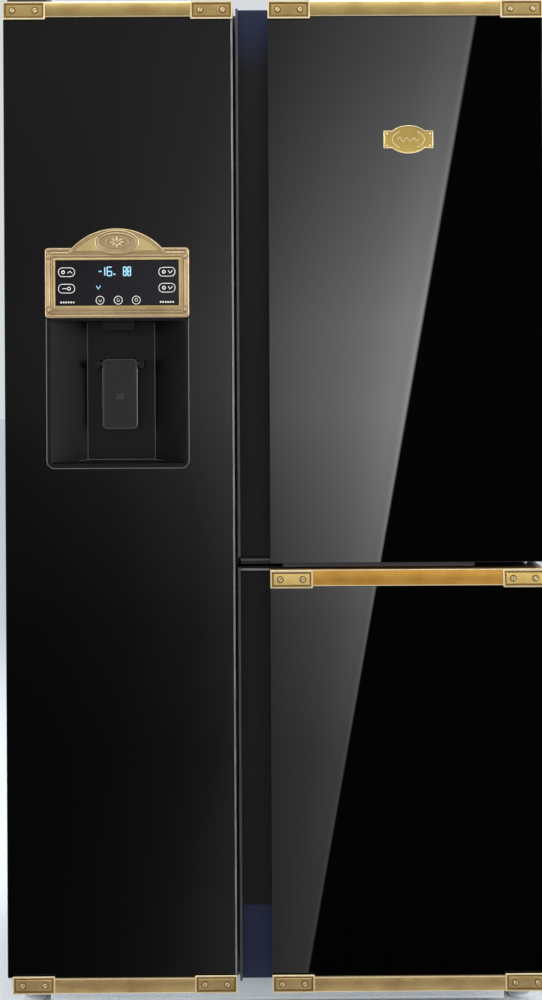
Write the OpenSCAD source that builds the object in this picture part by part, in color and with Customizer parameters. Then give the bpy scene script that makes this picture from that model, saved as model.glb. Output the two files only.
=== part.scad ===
// Side by side refrigerator: tall freezer door with a dispenser on the left, two fridge doors on the right.
// Millimetres. Origin at the centre of the overall box's base, +Z up, the doors face -Y.

/* [Cabinet] */
// width over the side panels
cab_w = 912; // [860:1:960]
// top of the cabinet above the floor
cab_top = 1742; // [1650:1:1850]
// underside of the steel case above the floor
cab_bottom = 56; // [50:1:70]
// distance of the cabinet front from the middle of the overall depth
cab_front = 250; // [230:1:270]
// distance of the rear panel's outside from the middle of the overall depth
cab_back = 350; // [320:1:360]
// thickness of the steel case
case_t = 1.2; // [0.8:0.1:2]
// thickness of the moulded inner liners
liner_t = 2; // [1.5:0.1:3]
// depth of the wall spacers behind the rear panel
spacer_d = 20; // [10:1:30]

/* [Cavities] */
// distance of each outer cavity wall from the centre line
cav_out = 404; // [380:1:410]
// right wall of the freezer cavity, left of the centre line
frz_in = 96; // [80:1:110]
// left wall of the fridge cavity, left of the centre line
frg_in = 36; // [20:1:50]
// floor of the cavities
cav_floor = 130; // [110:1:150]
// ceiling of the cavities
cav_top = 1700; // [1600:1:1720]
// back wall of the cavities
cav_back = 293; // [270:1:300]
// front face of the hump over the machine space
hump_front = 60; // [40:1:80]
// top of the hump over the machine space
hump_top = 347; // [320:1:360]
// ceiling of the lower fridge cavity
low_top = 762; // [740:1:770]
// floor of the upper fridge cavity
up_floor = 812; // [800:1:830]

/* [Doors] */
// top edge of the doors
door_top = 1740; // [1650:1:1740]
// bottom edge of the doors
door_bottom = 66; // [64:1:80]
// bottom edge of the upper right door
up_bottom = 793; // [785:1:800]
// top edge of the lower right door
low_door_top = 780; // [770:1:782]
// right edge of the freezer door, left of the centre line
frz_edge = 68; // [60:1:80]
// left edge of the fridge doors, left of the centre line
frg_edge = 64.5; // [60:0.5:80]
// left edge of the fridge doors' glass, left of the centre line
grip_edge = 9; // [0:1:20]
// front of the door glass, in front of the middle of the overall depth
glass_front = 362; // [350:1:365]
// thickness of the door glass
glass_t = 4; // [3:0.5:6]
// back of the insulated door body
shell_back = 262; // [255:1:270]
// depth of the grip channel below the glass
grip_d = 53; // [40:1:60]
// distance of the hinge axes from the centre line
hinge_x = 434; // [425:1:440]
// distance of the hinge axes in front of the middle
hinge_y = 285; // [275:1:300]
// radius of the hinge pins
pin_r = 5; // [4:0.5:7]
// radial running clearance of pins and axles
fit_c = 0.05; // [0.02:0.01:0.1]
// height of the brass strips across the door ends
strip_h = 26; // [20:1:32]
// width of the corner plates
plate_w = 71.5; // [60:0.5:80]
// height of the corner plates
plate_h = 30; // [26:1:34]
// radius of the slotted screw heads
screw_r = 5.75; // [4:0.25:7]
// distance between the two screws of a plate
screw_gap = 38; // [30:1:45]

/* [Dispenser] */
// centre of the dispenser, left of the centre line
disp_x = 265; // [255:1:275]
// width of the frame round the display
bezel_w = 243; // [230:1:250]
// top of the frame round the display
bezel_top = 1324.5; // [1300:0.5:1340]
// bottom of that frame, where the recess begins
bezel_bottom = 1206; // [1195:1:1215]
// floor edge of the recess
recess_bottom = 951; // [940:1:960]
// depth of the recess behind the glass front
recess_d = 60; // [50:1:70]
// width of the recess's back wall
recess_back_w = 117; // [100:1:130]
// radius of the arch over the frame
arch_r = 104.3; // [95:0.1:115]
// rise of the arch above the frame
arch_h = 32.6; // [25:0.1:40]
// width of the oval medallion
medal_w = 71; // [60:1:80]
// height of the oval medallion
medal_h = 42; // [35:1:50]
// width of the paddle
paddle_w = 60; // [50:1:70]
// height of the paddle
paddle_h = 119; // [100:1:130]

/* [Fittings] */
// wall thickness of bins and drawers
bin_t = 3; // [2:0.5:4]
// thickness of the shelves
shelf_t = 6; // [4:1:10]
// foremost plane of shelves and drawers, in front of the middle
store_front = 145; // [140:1:150]
// radius of the rear rollers
roller_r = 20; // [18:1:25]
// radius of the water inlet's threaded spigot
inlet_r = 13.2; // [12:0.1:14]
// radius of the cord gland's bore
gland_r = 4.5; // [3.5:0.1:6]

/* [Hidden] */
$fn = 64;
half = cab_w / 2;
gf = -glass_front;
gb = gf + glass_t;
sb = -shell_back;
cf = -cab_front;
in_case = half - case_t;
seal_y = cf - 0.3;
seal_w = 14;
hy = -hinge_y;
fit_r = pin_r + fit_c;
bez_y = gf - 6;
front_y = gf - 8;
zmed = bezel_top + arch_h - medal_h / 2 - 3.6;
spin_y = 246;
fan_z = 900;

// a block given by its limits on each axis
module block(x0, x1, y0, y1, z0, z1) {
    translate([x0, y0, z0]) cube([x1 - x0, y1 - y0, z1 - z0]);
}

// a side profile, points (y, z), drawn out along X
module along_x(x0, x1) {
    translate([x0, 0, 0]) rotate([90, 0, 90]) linear_extrude(x1 - x0) children();
}

// a front profile, points (x, z), drawn out along Y
module along_y(y0, y1) {
    translate([0, y1, 0]) rotate([90, 0, 0]) linear_extrude(y1 - y0) children();
}

// a plan profile, points (x, y), drawn out along Z
module along_z(z0, z1) {
    translate([0, 0, z0]) linear_extrude(z1 - z0) children();
}

// round bars along each axis
module bar_x(x0, x1, y, z, r) {
    translate([x0, y, z]) rotate([0, 90, 0]) cylinder(h = x1 - x0, r = r);
}
module bar_y(y0, y1, x, z, r) {
    translate([x, y1, z]) rotate([90, 0, 0]) cylinder(h = y1 - y0, r = r);
}
module bar_z(z0, z1, x, y, r) {
    translate([x, y, z0]) cylinder(h = z1 - z0, r = r);
}

// a rectangle by its limits, and one with round corners
module rect(x0, x1, z0, z1) {
    translate([x0, z0]) square([x1 - x0, z1 - z0]);
}
module round_rect(x0, x1, z0, z1, r) {
    rect(x0 + r, x1 - r, z0, z1);
    rect(x0, x1, z0 + r, z1 - r);
    for (x = [x0 + r, x1 - r], z = [z0 + r, z1 - r]) translate([x, z]) circle(r);
}

// an oval in the front plane
module oval(x, z, w, h) {
    translate([x, z]) polygon([for (a = [0:7.5:359]) [w / 2 * cos(a), h / 2 * sin(a)]]);
}

// an open-topped tub with walls of one thickness
module tub(x0, x1, y0, y1, z0, z1, t) {
    difference() {
        block(x0, x1, y0, y1, z0, z1);
        block(x0 + t, x1 - t, y0 + t, y1 - t, z0 + t, z1 + 1);
    }
}

// ---- cabinet ----

module outer_case() {
    color("dimgray") {
        difference() {
            block(-half, half, cf, cab_back, cab_bottom, cab_top);
            block(-in_case, in_case, cf - 1, cab_back + 1, cab_bottom + case_t, cab_top - case_t);
        }
        along_y(cf, cf + case_t) difference() {
            rect(-in_case, in_case, cab_bottom + case_t, cab_top - case_t);
            rect(-cav_out, -frz_in, cav_floor, cav_top);
            rect(-frg_in, cav_out, up_floor, cav_top);
            rect(-frg_in, cav_out, cav_floor, low_top);
        }
    }
}

module rear_panel() {
    color("gray") {
        block(-in_case, in_case, cab_back - 1.5, cab_back, 300.5, cab_top - case_t);
        for (s = [-1, 1])
            block(s * 300 - 16, s * 300 + 16, cab_back, cab_back + spacer_d, 1180, 1420);
    }
}

// foam slabs filled between the case and the liners, each a separate convex block
module insulation() {
    t = liner_t;
    fy = cf + case_t;
    by = cab_back - 1.5;
    zt = cab_top - case_t;
    hf = hump_front + t;
    color("khaki") {
        for (s = [-1, 1]) {
            x0 = s < 0 ? -in_case : cav_out + t;
            x1 = s < 0 ? -cav_out - t : in_case;
            block(x0, x1, fy, hf + 48, 60, 300);
            block(x0, x1, fy, by, 300.4, zt);
        }
        xo = cav_out + t - 0.4;
        block(-xo, xo, fy, by, cav_top + t, zt);
        block(-xo, xo, cav_back + t, by, hump_top - t + 0.4, cav_top + t - 0.4);
        block(-xo, xo, hf, by, 300.4, hump_top - t);
        block(-xo, xo, hf, hf + 48, 60, 300);
        block(-xo, xo, fy, hf - 0.4, 60, cav_floor - t);
        px0 = -frz_in + t;
        px1 = -frg_in - t;
        block(px0, px1, fy, cav_back + t - 0.4, hump_top - t + 0.4, cav_top + t - 0.4);
        block(px0, px1, fy, hf - 0.4, cav_floor - t + 0.4, hump_top - t);
        block(px1 + 0.4, cav_out + t - 0.4, fy, cav_back + t - 0.4, low_top + t, up_floor - t);
    }
}

// the outline of a cavity seen from the side, with the hump when it reaches down to it
module cavity_side(z0, z1, g) {
    if (z0 < hump_top)
        polygon([[cf + case_t, z0 - g], [hump_front + g, z0 - g], [hump_front + g, hump_top - g],
            [cav_back + g, hump_top - g], [cav_back + g, z1 + g], [cf + case_t, z1 + g]]);
    else
        rect(cf + case_t, cav_back + g, z0 - g, z1 + g);
}

module cavity_liner(x0, x1, z0, z1) {
    difference() {
        along_x(x0 - liner_t, x1 + liner_t) cavity_side(z0, z1, liner_t);
        along_x(x0, x1) cavity_side(z0, z1, 0);
        block(x0, x1, cf, cf + 5, z0, z1);
    }
}

module freezer_liner() {
    color("white") cavity_liner(-cav_out, -frz_in, cav_floor, cav_top);
}
module fridge_liner() {
    color("white") cavity_liner(-frg_in, cav_out, up_floor, cav_top);
}
module lower_liner() {
    color("white") cavity_liner(-frg_in, cav_out, cav_floor, low_top);
}

// ears that hold the axles of one roller pair, cut for the axles
module roller_ears(y, z) {
    for (s = [-1, 1], d = [-13, 9]) difference() {
        block(s * 426 + d, s * 426 + d + 4, y - 14, y + 14, 9, 32);
        bar_x(s * 426 + d - 1, s * 426 + d + 5, y, z, fit_r);
    }
}

module base_chassis() {
    color("silver") {
        difference() {
            union() {
                block(-in_case, in_case, cf + case_t, cab_back - 2, cab_bottom + case_t, 60);
                for (s = [-1, 1])
                    block(s * 432 - 20, s * 432 + 20, cf + 4, cab_back - 2, 30, cab_bottom);
                block(-414, 414, cf + 4, cf + 34, 30, cab_bottom);
                block(-414, 414, cab_back - 40, cab_back - 2, 30, cab_bottom);
            }
            for (s = [-1, 1]) bar_z(20, 55, s * 432, cf + 26, 6 + fit_c);
            for (s = [-1, 1]) block(s * 426 - 8, s * 426 + 8, 285, 335, 20, 46);
            for (s = [-1, 1]) block(s * 426 - 8, s * 426 + 8, -195, -145, 20, 46);
        }
        roller_ears(310, roller_r);
        roller_ears(-170, roller_r + 0.5);
        for (s = [-1, 1]) block(s < 0 ? -in_case : in_case - 3, s < 0 ? -in_case + 3 : in_case,
            hump_front + liner_t + 48.4, cab_back - 2, 60, 300);
    }
}

module corner_hinge(z0, z1, pin0, pin1, depth) {
    for (s = [-1, 1]) {
        block(s * 426 - 26, s * 426 + 26, -305, cf + depth, z0, z1);
        bar_z(pin0, pin1, s * hinge_x, hy, pin_r);
    }
}

module door_hinges() {
    color("gainsboro") {
        corner_hinge(cab_top, cab_top + 6, door_top - 25, cab_top, 60);
        corner_hinge(57, 63, 63, door_bottom + 24, 0);
        for (s = [-1, 1]) block(s * 426 - 26, s * 426 + 26, cf - 0, cf + 4, 32, cab_bottom);
        for (s = [-1, 1]) block(s * 426 - 26, s * 426 + 26, cf - 3, cf, 40, 57);
        block(348, 452, -305, cf, 783.5, 789.5);
        block(425, 452, cf - 2, cf, 745, 828);
        bar_z(757, 816, hinge_x, hy, pin_r);
    }
}

module hinge_covers() {
    color("darkgray") for (s = [-1, 1]) difference() {
        union() {
            block(s * 422 - 34, s * 422 + 34, -330, cf + 75, cab_top, 1770);
            block(s * 422 - 28, s * 422 + 28, -318, cf + 66, 1770, 1780);
        }
        block(s * 422 - 31, s * 422 + 31, -327, cf + 72, cab_top - 1, 1767);
    }
}

module kick_grille() {
    color("lightgray") difference() {
        block(-398, 398, cf - 12, cf + 3.9, 10, cab_bottom - 1);
        block(-394, 394, cf - 8, cf + 5, 5, cab_bottom - 4);
        for (x = [-360:40:360], z = [20, 32]) block(x - 15, x + 15, cf - 20, cf, z, z + 6);
    }
}

module compressor() {
    color("black") {
        translate([290, 235, 76]) rotate_extrude() intersection() {
            round_rect(-72, 72, 0, 165, 34);
            rect(0, 80, -1, 170);
        }
        block(218, 362, 185, 285, 72, 80);
        for (x = [226, 354], y = [193, 277]) bar_z(60, 72, x, y, 10);
        block(262, 318, 150, 175, 120, 180);
        bar_z(230, 275, 290, 235, 4);
    }
}

module condenser_coil() {
    color("black") {
        for (z = [100:26:260], y = [150, 180, 210]) bar_x(-190, 90, y, z, 4);
        for (x = [-180, 76]) block(x, x + 3, 135, 225, 82, 270);
        for (x = [-150:24:60]) block(x, x + 1, 138, 222, 90, 268);
    }
}

module fan_shroud() {
    color("gray") {
        difference() {
            block(120, 124, 130, 330, 61, 280);
            bar_x(118, 126, 230, 175, 82);
        }
        block(150, 190, 212, 248, 157, 193);
        bar_x(128, 150, 230, 175, 4);
        for (y = [208, 248]) block(165, 175, y, y + 4, 60, 182);
    }
}

module condenser_fan() {
    color("dimgray") difference() {
        union() {
            bar_x(128, 142, 230, 175, 20);
            for (a = [0:72:359]) translate([135, 230, 175]) rotate([a, 0, 0])
                translate([0, 0, 46]) rotate([0, 0, 28]) cube([3, 32, 62], center = true);
        }
        bar_x(120, 150, 230, 175, 4 + fit_c);
    }
}

module evaporating_tray() {
    color("black") tub(-195, 100, 130, 330, 60.5, 80, 2);
}

module machine_cover() {
    color("lightgray") {
        difference() {
            block(-450, 450, cab_back - 1.5, cab_back + 1, 62, 299);
            for (x = [-300:50:350], z = [110:30:250]) block(x - 20, x + 20, 340, 360, z, z + 8);
            bar_y(340, 360, -390, 120, inlet_r + 4);
            bar_y(340, 360, 410, 100, 6);
        }
        difference() {
            bar_y(cab_back - 8, cab_back + 10, 410, 100, 9);
            bar_y(cab_back - 9, cab_back + 11, 410, 100, gland_r);
        }
    }
}

module water_valve() {
    color("royalblue") {
        block(-420, -360, 296, 345, 95, 145);
        bar_y(345, cab_back + 19, -390, 120, inlet_r);
        for (x = [-405, -375]) bar_z(145, 175, x, 318, 12);
        block(-410, -370, 285, 296, 60, 150);
    }
}

module evaporator() {
    color("silver") {
        for (z = [430:44:760], y = [256, 280]) bar_x(-388, -112, y, z, 4);
        for (x = [-380, -122]) block(x, x + 2, 248, 289, 418, 772);
        for (x = [-352:34:-140]) block(x, x + 1, 248, 289, 420, 770);
    }
}

module ice_maker() {
    color("whitesmoke") {
        block(-386, -340, 20, 230, 1590, 1690);
        difference() {
            block(-340, -130, 40, 220, 1590, 1640);
            for (i = [0:4], j = [0:1])
                block(-334 + i * 41, -334 + i * 41 + 35, 52 + j * 82, 126 + j * 82, 1606, 1650);
        }
        block(-130, -118, 20, 230, 1590, 1690);
        block(-340, -130, 222, 236, 1600, 1690);
    }
}

// ledges under a drawer's rim
module ledges(x0, x1, y1, z) {
    block(x0, x0 + 15, -store_front + 3, y1, z, z + 5);
    block(x1 - 15, x1, -store_front + 3, y1, z, z + 5);
}

module freezer_shelves() {
    color("lightcyan") {
        for (z = [600, 790, 980, 1170])
            block(-cav_out, -frz_in, -store_front + 3, 236, z, z + shelf_t);
        ledges(-cav_out, -frz_in, 52, 316);
        ledges(-cav_out, -frz_in, 228, 546);
        for (s = [0, 1]) block(-cav_out + s * 293, -389 + s * 293, -150, 150, 1531, 1536);
    }
}

module fridge_shelves() {
    color("lightcyan") {
        for (z = [1052, 1270, 1480]) block(-frg_in, cav_out, -store_front + 3, 268, z, z + shelf_t);
        block(-frg_in, cav_out, -store_front + 3, 288, 622, 622 + shelf_t);
        ledges(-frg_in, cav_out, 225, 1016);
        ledges(-frg_in, cav_out, 52, 316);
        ledges(-frg_in, cav_out, 275, 586);
    }
}

module air_ducts() {
    color("white") {
        difference() {
            block(-cav_out, -frz_in, 238, 242, hump_top, 1340);
            bar_y(230, 250, -250, fan_z, 60);
            for (z = [620:190:1200], x = [-360, -200]) block(x, x + 60, 230, 250, z + 40, z + 50);
        }
        bar_y(272, cav_back, -250, fan_z, 20);
        bar_y(spin_y - 2, 272, -250, fan_z, 3);
        difference() {
            block(70, 300, 272, cav_back, 830, 1660);
            block(76, 294, 276, cav_back + 1, 836, 1654);
            for (z = [900:80:1600]) block(100, 150, 265, 280, z, z + 8);
            for (z = [900:80:1600]) block(220, 270, 265, 280, z, z + 8);
        }
        difference() {
            block(305, 375, 120, 190, 1625, cav_top);
            bar_y(110, 146, 340, 1660, 20 + fit_c);
        }
    }
}

module ceiling_lamps() {
    color("lightyellow") {
        block(-310, -190, -90, -40, cav_top - 7, cav_top);
        block(120, 250, -90, -40, cav_top - 7, cav_top);
        block(120, 250, -90, -40, low_top - 7, low_top);
    }
}

// ---- moving pieces of the cabinet ----

module levelling_foot(s) {
    color("black") {
        bar_z(6, 54, s * 432, cf + 26, 6);
        bar_z(0, 8, s * 432, cf + 26, 19);
    }
}
module levelling_foot_left() {
    levelling_foot(-1);
}
module levelling_foot_right() {
    levelling_foot(1);
}

module roller_pair(y, z, r) {
    color("black") for (s = [-1, 1]) {
        bar_x(s * 426 - 7, s * 426 + 7, y, z, r);
        bar_x(s * 426 - 15, s * 426 + 15, y, z, pin_r);
    }
}
module front_rollers() {
    roller_pair(-170, roller_r + 0.5, roller_r - 2);
}
module rear_rollers() {
    roller_pair(310, roller_r, roller_r);
}

module evaporator_fan() {
    color("dimgray") difference() {
        union() {
            bar_y(spin_y, spin_y + 14, -250, fan_z, 15);
            for (a = [0:72:359]) translate([-250, spin_y + 7, fan_z]) rotate([0, a, 0])
                translate([0, 0, 32]) rotate([0, 0, 25]) cube([24, 2, 44], center = true);
        }
        bar_y(spin_y - 5, spin_y + 20, -250, fan_z, 3 + fit_c);
    }
}

module ice_bucket() {
    color("azure") {
        difference() {
            block(-384, -116, -158, 150, 1345, 1545);
            block(-380, -120, -154, 146, 1349, 1550);
            block(-290, -240, -150, -108, 1340, 1350);
            bar_y(140, 160, -disp_x, 1379, 6 + fit_c);
        }
        block(-402, -384, -148, 150, 1536.3, 1541);
        block(-116, -98, -148, 150, 1536.3, 1541);
    }
}

module ice_auger() {
    color("silver") {
        bar_y(-150, 158, -disp_x, 1379, 6);
        for (i = [0:9]) translate([-disp_x, -132 + i * 28, 1379]) rotate([18, 0, 0])
            rotate([90, 0, 0]) cylinder(h = 3, r = 24, center = true);
    }
}

// a pull-out tub with a rim that slides on ledges and a pull lip along the front
module drawer(x0, x1, y1, z0, z1) {
    color("azure") {
        tub(x0 + 16, x1 - 16, -store_front, y1, z0, z1, bin_t);
        for (x = [x0 + 2, x1 - 16]) block(x, x + 14, -store_front + 4, y1, z1 - 9, z1 - 5);
        block(x0 + 60, x1 - 60, -store_front - 9, -store_front, z1 - 12, z1 - 6);
        block(x0 + 60, x1 - 60, -store_front - 9, -store_front - 6, z1 - 24, z1 - 12);
    }
}
module freezer_drawer_upper() {
    drawer(-cav_out, -frz_in, 228, 353, 560.3);
}
module freezer_drawer_lower() {
    drawer(-cav_out, -frz_in, 52, 136, 330.3);
}
module crisper_drawer() {
    drawer(-frg_in, cav_out, 225, 826, 1030.3);
}
module lower_drawer_upper() {
    drawer(-frg_in, cav_out, 275, 353, 600.3);
}
module lower_drawer_lower() {
    drawer(-frg_in, cav_out, 52, 136, 330.3);
}

module water_filter() {
    color("white") {
        bar_y(-80, 115, 340, 1660, 27);
        bar_y(115, 144, 340, 1660, 20);
        block(334, 346, -98, -80, 1638, 1682);
    }
}

// ---- door parts ----

// magnetic seal: a closed ring between a door and the cabinet front
module gasket(x0, x1, z0, z1) {
    color("gray") along_y(sb, seal_y) difference() {
        rect(x0, x1, z0, z1);
        rect(x0 + seal_w, x1 - seal_w, z0 + seal_w, z1 - seal_w);
    }
}

// inner door liner: a plate with a raised rim that carries the bins
module door_liner(x0, x1, z0, z1) {
    color("white") {
        block(x0, x1, sb, sb + 4, z0, z1);
        for (x = [x0 + 14, x1 - 24]) block(x, x + 10, sb + 4, -190, z0 + 22, z1 - 22);
        for (z = [z0 + 22, z1 - 32]) block(x0 + 20, x1 - 20, sb + 4, -190, z, z + 10);
    }
}

// door bins, one open tub per level
module bins(x0, x1, levels, h) {
    color("azure") for (z = levels) tub(x0, x1, sb + 4.5, -165, z, z + h, bin_t);
}

// brass strip over a door end, with its return over the edge
module strip(x0, x1, z0, up) {
    block(x0, x1, gf - 3.5, gb, z0, z0 + strip_h);
    block(x0, x1, gb, gb + 13, up ? z0 + strip_h - 2 : z0, up ? z0 + strip_h : z0 + 2);
}

// corner plate on the end of a strip, with a rim and two slotted screws
module corner_plate(x0, z0) {
    along_y(gf - 5.4, gf - 3.5) rect(x0, x0 + plate_w, z0, z0 + plate_h);
    for (d = [-1, 1]) difference() {
        bar_y(gf - 7.2, gf - 5.4, x0 + plate_w / 2 + d * screw_gap / 2, z0 + plate_h / 2, screw_r);
        translate([x0 + plate_w / 2 + d * screw_gap / 2, gf - 7.2, z0 + plate_h / 2])
            rotate([0, d * 35, 0]) cube([20, 1.6, 1.4], center = true);
    }
}

module freezer_door_shell() {
    color("black") difference() {
        block(-half + 1, -frz_edge - 1, gb, sb, door_bottom + 2, door_top - 2);
        bar_z(door_top - 28, door_top, -hinge_x, hy, fit_r);
        bar_z(door_bottom, door_bottom + 28, -hinge_x, hy, fit_r);
        block(-383.6, -146.4, gb - 1, -296, recess_bottom + 2, bezel_bottom + 2);
        block(-376, -154, gb - 1, -336, bezel_bottom, bezel_top - 8);
        block(-disp_x - 31, -disp_x + 31, -331, -283, bezel_bottom, 1342);
        block(-disp_x - 31, -disp_x + 31, -290, sb + 1, 1286, 1342);
    }
}

module freezer_door_glass() {
    color([0.05, 0.05, 0.06]) along_y(gf, gb) difference() {
        rect(-half, -frz_edge, door_bottom + strip_h, door_top - strip_h);
        round_rect(-384, -146, recess_bottom + 2, bezel_top - 6, 12);
    }
}

module freezer_door_liner() {
    color("white") {
        difference() {
            door_liner(-cav_out - 1.5, -frz_in + 1.5, cav_floor - 1.5, cav_top + 1.5);
            block(-292.5, -237.5, sb - 1, sb + 5, 1290, 1336);
        }
        difference() {
            block(-300, -230, sb + 4, -150, 1270, 1338);
            along_x(-296, -234) polygon([[sb + 4, 1290], [sb + 16, 1290], [-154, 1320], [-154, 1340],
                [sb + 4, 1340]]);
        }
    }
}

module freezer_door_gasket() {
    gasket(-cav_out - 18, -frz_in + 18, cav_floor - 18, cav_top + 18);
}
module freezer_door_bins() {
    bins(-381, -123, [175, 420, 665, 910, 1555], 100);
}

module freezer_door_trims() {
    color("goldenrod") {
        strip(-half, -frz_edge, door_top - strip_h, true);
        strip(-half + 9, -frz_edge, door_bottom, false);
        corner_plate(-half, door_top - plate_h);
        corner_plate(-frz_edge - plate_w, door_top - plate_h);
        corner_plate(-half + 9, door_bottom);
        corner_plate(-frz_edge - plate_w, door_bottom);
    }
}

// recess with splayed walls, ceiling nozzle and the duct that ice falls through
module dispenser_housing() {
    bw = recess_back_w / 2;
    x = -disp_x;
    color([0.1, 0.1, 0.12]) {
        difference() {
            along_y(gf, -296.1) round_rect(-383.5, -146.5, recess_bottom + 2.2, bezel_bottom + 1.8, 11.5);
            along_z(recess_bottom + 9, bezel_bottom - 5)
                polygon([[x - 115, gf - 1], [x + 115, gf - 1], [x + bw, gf + recess_d],
                    [x - bw, gf + recess_d]]);
            block(x - 27.5, x + 27.5, -327.5, -307, bezel_bottom - 6, bezel_bottom + 3);
        }
        along_y(gf - 1.6, gf) difference() {
            round_rect(-386, -144, recess_bottom, bezel_bottom, 14);
            round_rect(-380.5, -149.5, recess_bottom + 5, bezel_bottom - 4, 10);
        }
        difference() {
            union() {
                block(x - 30, x + 30, -330, -284, bezel_bottom + 1.8, 1340);
                block(x - 30, x + 30, -284, sb, 1288, 1340);
            }
            block(x - 27.5, x + 27.5, -327.5, -307, bezel_bottom, 1337.5);
            block(x - 27.5, x + 27.5, -310, -286.5, 1240, 1337.5);
            block(x - 27.5, x + 27.5, -290, sb + 1, 1290.5, 1337.5);
        }
        block(x - 27, x + 27, -336, -330.5, bezel_bottom - 20, bezel_bottom - 4.9);
        for (s = [-1, 1]) difference() {
            block(x + s * 38 - 4, x + s * 38 + 4, -330, -301.9, 1121, 1135);
            bar_x(x + s * 38 - 5, x + s * 38 + 5, -324, 1128, 4 + fit_c);
        }
    }
}

module dispenser_bezel() {
    x = -disp_x;
    w = bezel_w / 2;
    color("goldenrod") {
        along_y(bez_y, gf) difference() {
            union() {
                round_rect(x - w, x + w, bezel_bottom, bezel_top, 12);
                intersection() {
                    translate([x, bezel_top + arch_h - arch_r]) circle(arch_r);
                    rect(x - 90, x + 90, bezel_top - 4, bezel_top + arch_h);
                }
            }
            round_rect(x - 104, x + 104, bezel_bottom + 21, bezel_top - 22, 10);
        }
        along_y(bez_y - 1, bez_y) difference() {
            round_rect(x - w + 8, x + w - 8, bezel_bottom + 8, bezel_top - 8, 10);
            round_rect(x - 110, x + 110, bezel_bottom + 15, bezel_top - 16, 12);
        }
        along_y(front_y, bez_y) oval(x, zmed, medal_w, medal_h);
    }
}

module dispenser_display() {
    x = -disp_x;
    color([0.08, 0.08, 0.15]) {
        block(x - 113, x + 113, gf, gb, bezel_bottom + 2, bezel_top - 10);
        block(x - 110, x + 110, gb, -337, bezel_bottom + 3, bezel_top - 9);
        along_y(gf - 2.5, gf) round_rect(x - 103.7, x + 103.7, bezel_bottom + 21.3, bezel_top - 22.3, 9.7);
    }
}

module dispenser_paddle() {
    x = -disp_x;
    z0 = 1136 - paddle_h;
    color([0.15, 0.15, 0.18]) {
        along_y(-326, -322) round_rect(x - paddle_w / 2, x + paddle_w / 2, z0, 1136, 12);
        bar_x(x - 41, x + 41, -324, 1128, 4);
    }
}

module drip_grille() {
    x = -disp_x;
    color("dimgray") difference() {
        along_z(recess_bottom + 9.2, recess_bottom + 15) polygon([[x - 108, gf + 2], [x + 108, gf + 2],
            [x + 60, gf + recess_d - 4], [x - 60, gf + recess_d - 4]]);
        for (d = [-72:12:72]) block(x + d - 3, x + d + 3, gf + 10, gf + 36, 950, 980);
    }
}

// insulated body of a right-hand door, with the grip channel down its left edge
module right_shell(z0, z1) {
    color("black") difference() {
        along_z(z0 + 2, z1 - 2) polygon([[-frg_edge + 1, sb], [-frg_edge + 1, gf + grip_d],
            [12, gf + grip_d], [12, gb + 10], [-grip_edge + 1, gb + 5], [-grip_edge + 1, gb],
            [half - 1, gb], [half - 1, sb]]);
        bar_z(z1 - 28, z1, hinge_x, hy, fit_r);
        bar_z(z0, z0 + 28, hinge_x, hy, fit_r);
    }
}

module right_glass(z0, z1) {
    color([0.05, 0.05, 0.06]) block(-grip_edge, half, gf, gb, z0, z1);
}

module upper_door_shell() {
    right_shell(up_bottom, door_top);
}
module upper_door_glass() {
    right_glass(up_bottom, door_top - strip_h);
}
module upper_door_liner() {
    door_liner(-frg_in - 1.5, cav_out + 1.5, up_floor - 0.5, cav_top + 1.5);
}
module upper_door_gasket() {
    gasket(-frg_in - 18, cav_out + 18, 797, cav_top + 18);
}
module upper_door_bins() {
    bins(-10, 379, [860, 1100, 1340, 1545], 110);
}
module upper_door_trims() {
    color("goldenrod") {
        strip(-grip_edge, half, door_top - strip_h, true);
        corner_plate(-grip_edge, door_top - plate_h);
        corner_plate(half - plate_w, door_top - plate_h);
    }
}

module upper_door_badge() {
    color("goldenrod") {
        along_y(gf - 3, gf) union() {
            rect(184, 268, 1490, 1520);
            oval(226, 1505, 70, 48);
        }
        along_y(gf - 4, gf - 3) oval(226, 1505, 56, 34);
        for (s = [-1, 1], t = [-1, 1]) bar_y(gf - 4, gf - 3, 226 + s * 38, 1505 + t * 10, 1.8);
    }
}

module lower_door_shell() {
    right_shell(door_bottom, low_door_top);
}
module lower_door_glass() {
    right_glass(door_bottom + strip_h, low_door_top - strip_h);
}
module lower_door_liner() {
    door_liner(-frg_in - 1.5, cav_out + 1.5, cav_floor - 1.5, low_top + 0.5);
}
module lower_door_gasket() {
    gasket(-frg_in - 18, cav_out + 18, cav_floor - 18, 777);
}
module lower_door_bins() {
    bins(-10, 379, [175, 400, 620], 95);
}
module lower_door_trims() {
    color("goldenrod") {
        strip(-grip_edge, half, low_door_top - strip_h, true);
        strip(-grip_edge, half, door_bottom, false);
        for (z = [low_door_top - plate_h, door_bottom]) {
            corner_plate(-grip_edge, z);
            corner_plate(half - plate_w, z);
        }
    }
}

outer_case();
rear_panel();
base_chassis();
insulation();
freezer_liner();
fridge_liner();
lower_liner();
door_hinges();
hinge_covers();
kick_grille();
compressor();
condenser_coil();
fan_shroud();
evaporating_tray();
machine_cover();
water_valve();
evaporator();
ice_maker();
freezer_shelves();
fridge_shelves();
air_ducts();
ceiling_lamps();
levelling_foot_left();
levelling_foot_right();
front_rollers();
rear_rollers();
condenser_fan();
evaporator_fan();
ice_bucket();
ice_auger();
freezer_drawer_upper();
freezer_drawer_lower();
crisper_drawer();
lower_drawer_upper();
lower_drawer_lower();
water_filter();
freezer_door_shell();
freezer_door_glass();
freezer_door_liner();
freezer_door_gasket();
freezer_door_bins();
freezer_door_trims();
dispenser_housing();
dispenser_bezel();
dispenser_display();
dispenser_paddle();
drip_grille();
upper_door_shell();
upper_door_glass();
upper_door_liner();
upper_door_gasket();
upper_door_bins();
upper_door_trims();
upper_door_badge();
lower_door_shell();
lower_door_glass();
lower_door_liner();
lower_door_gasket();
lower_door_bins();
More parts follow.
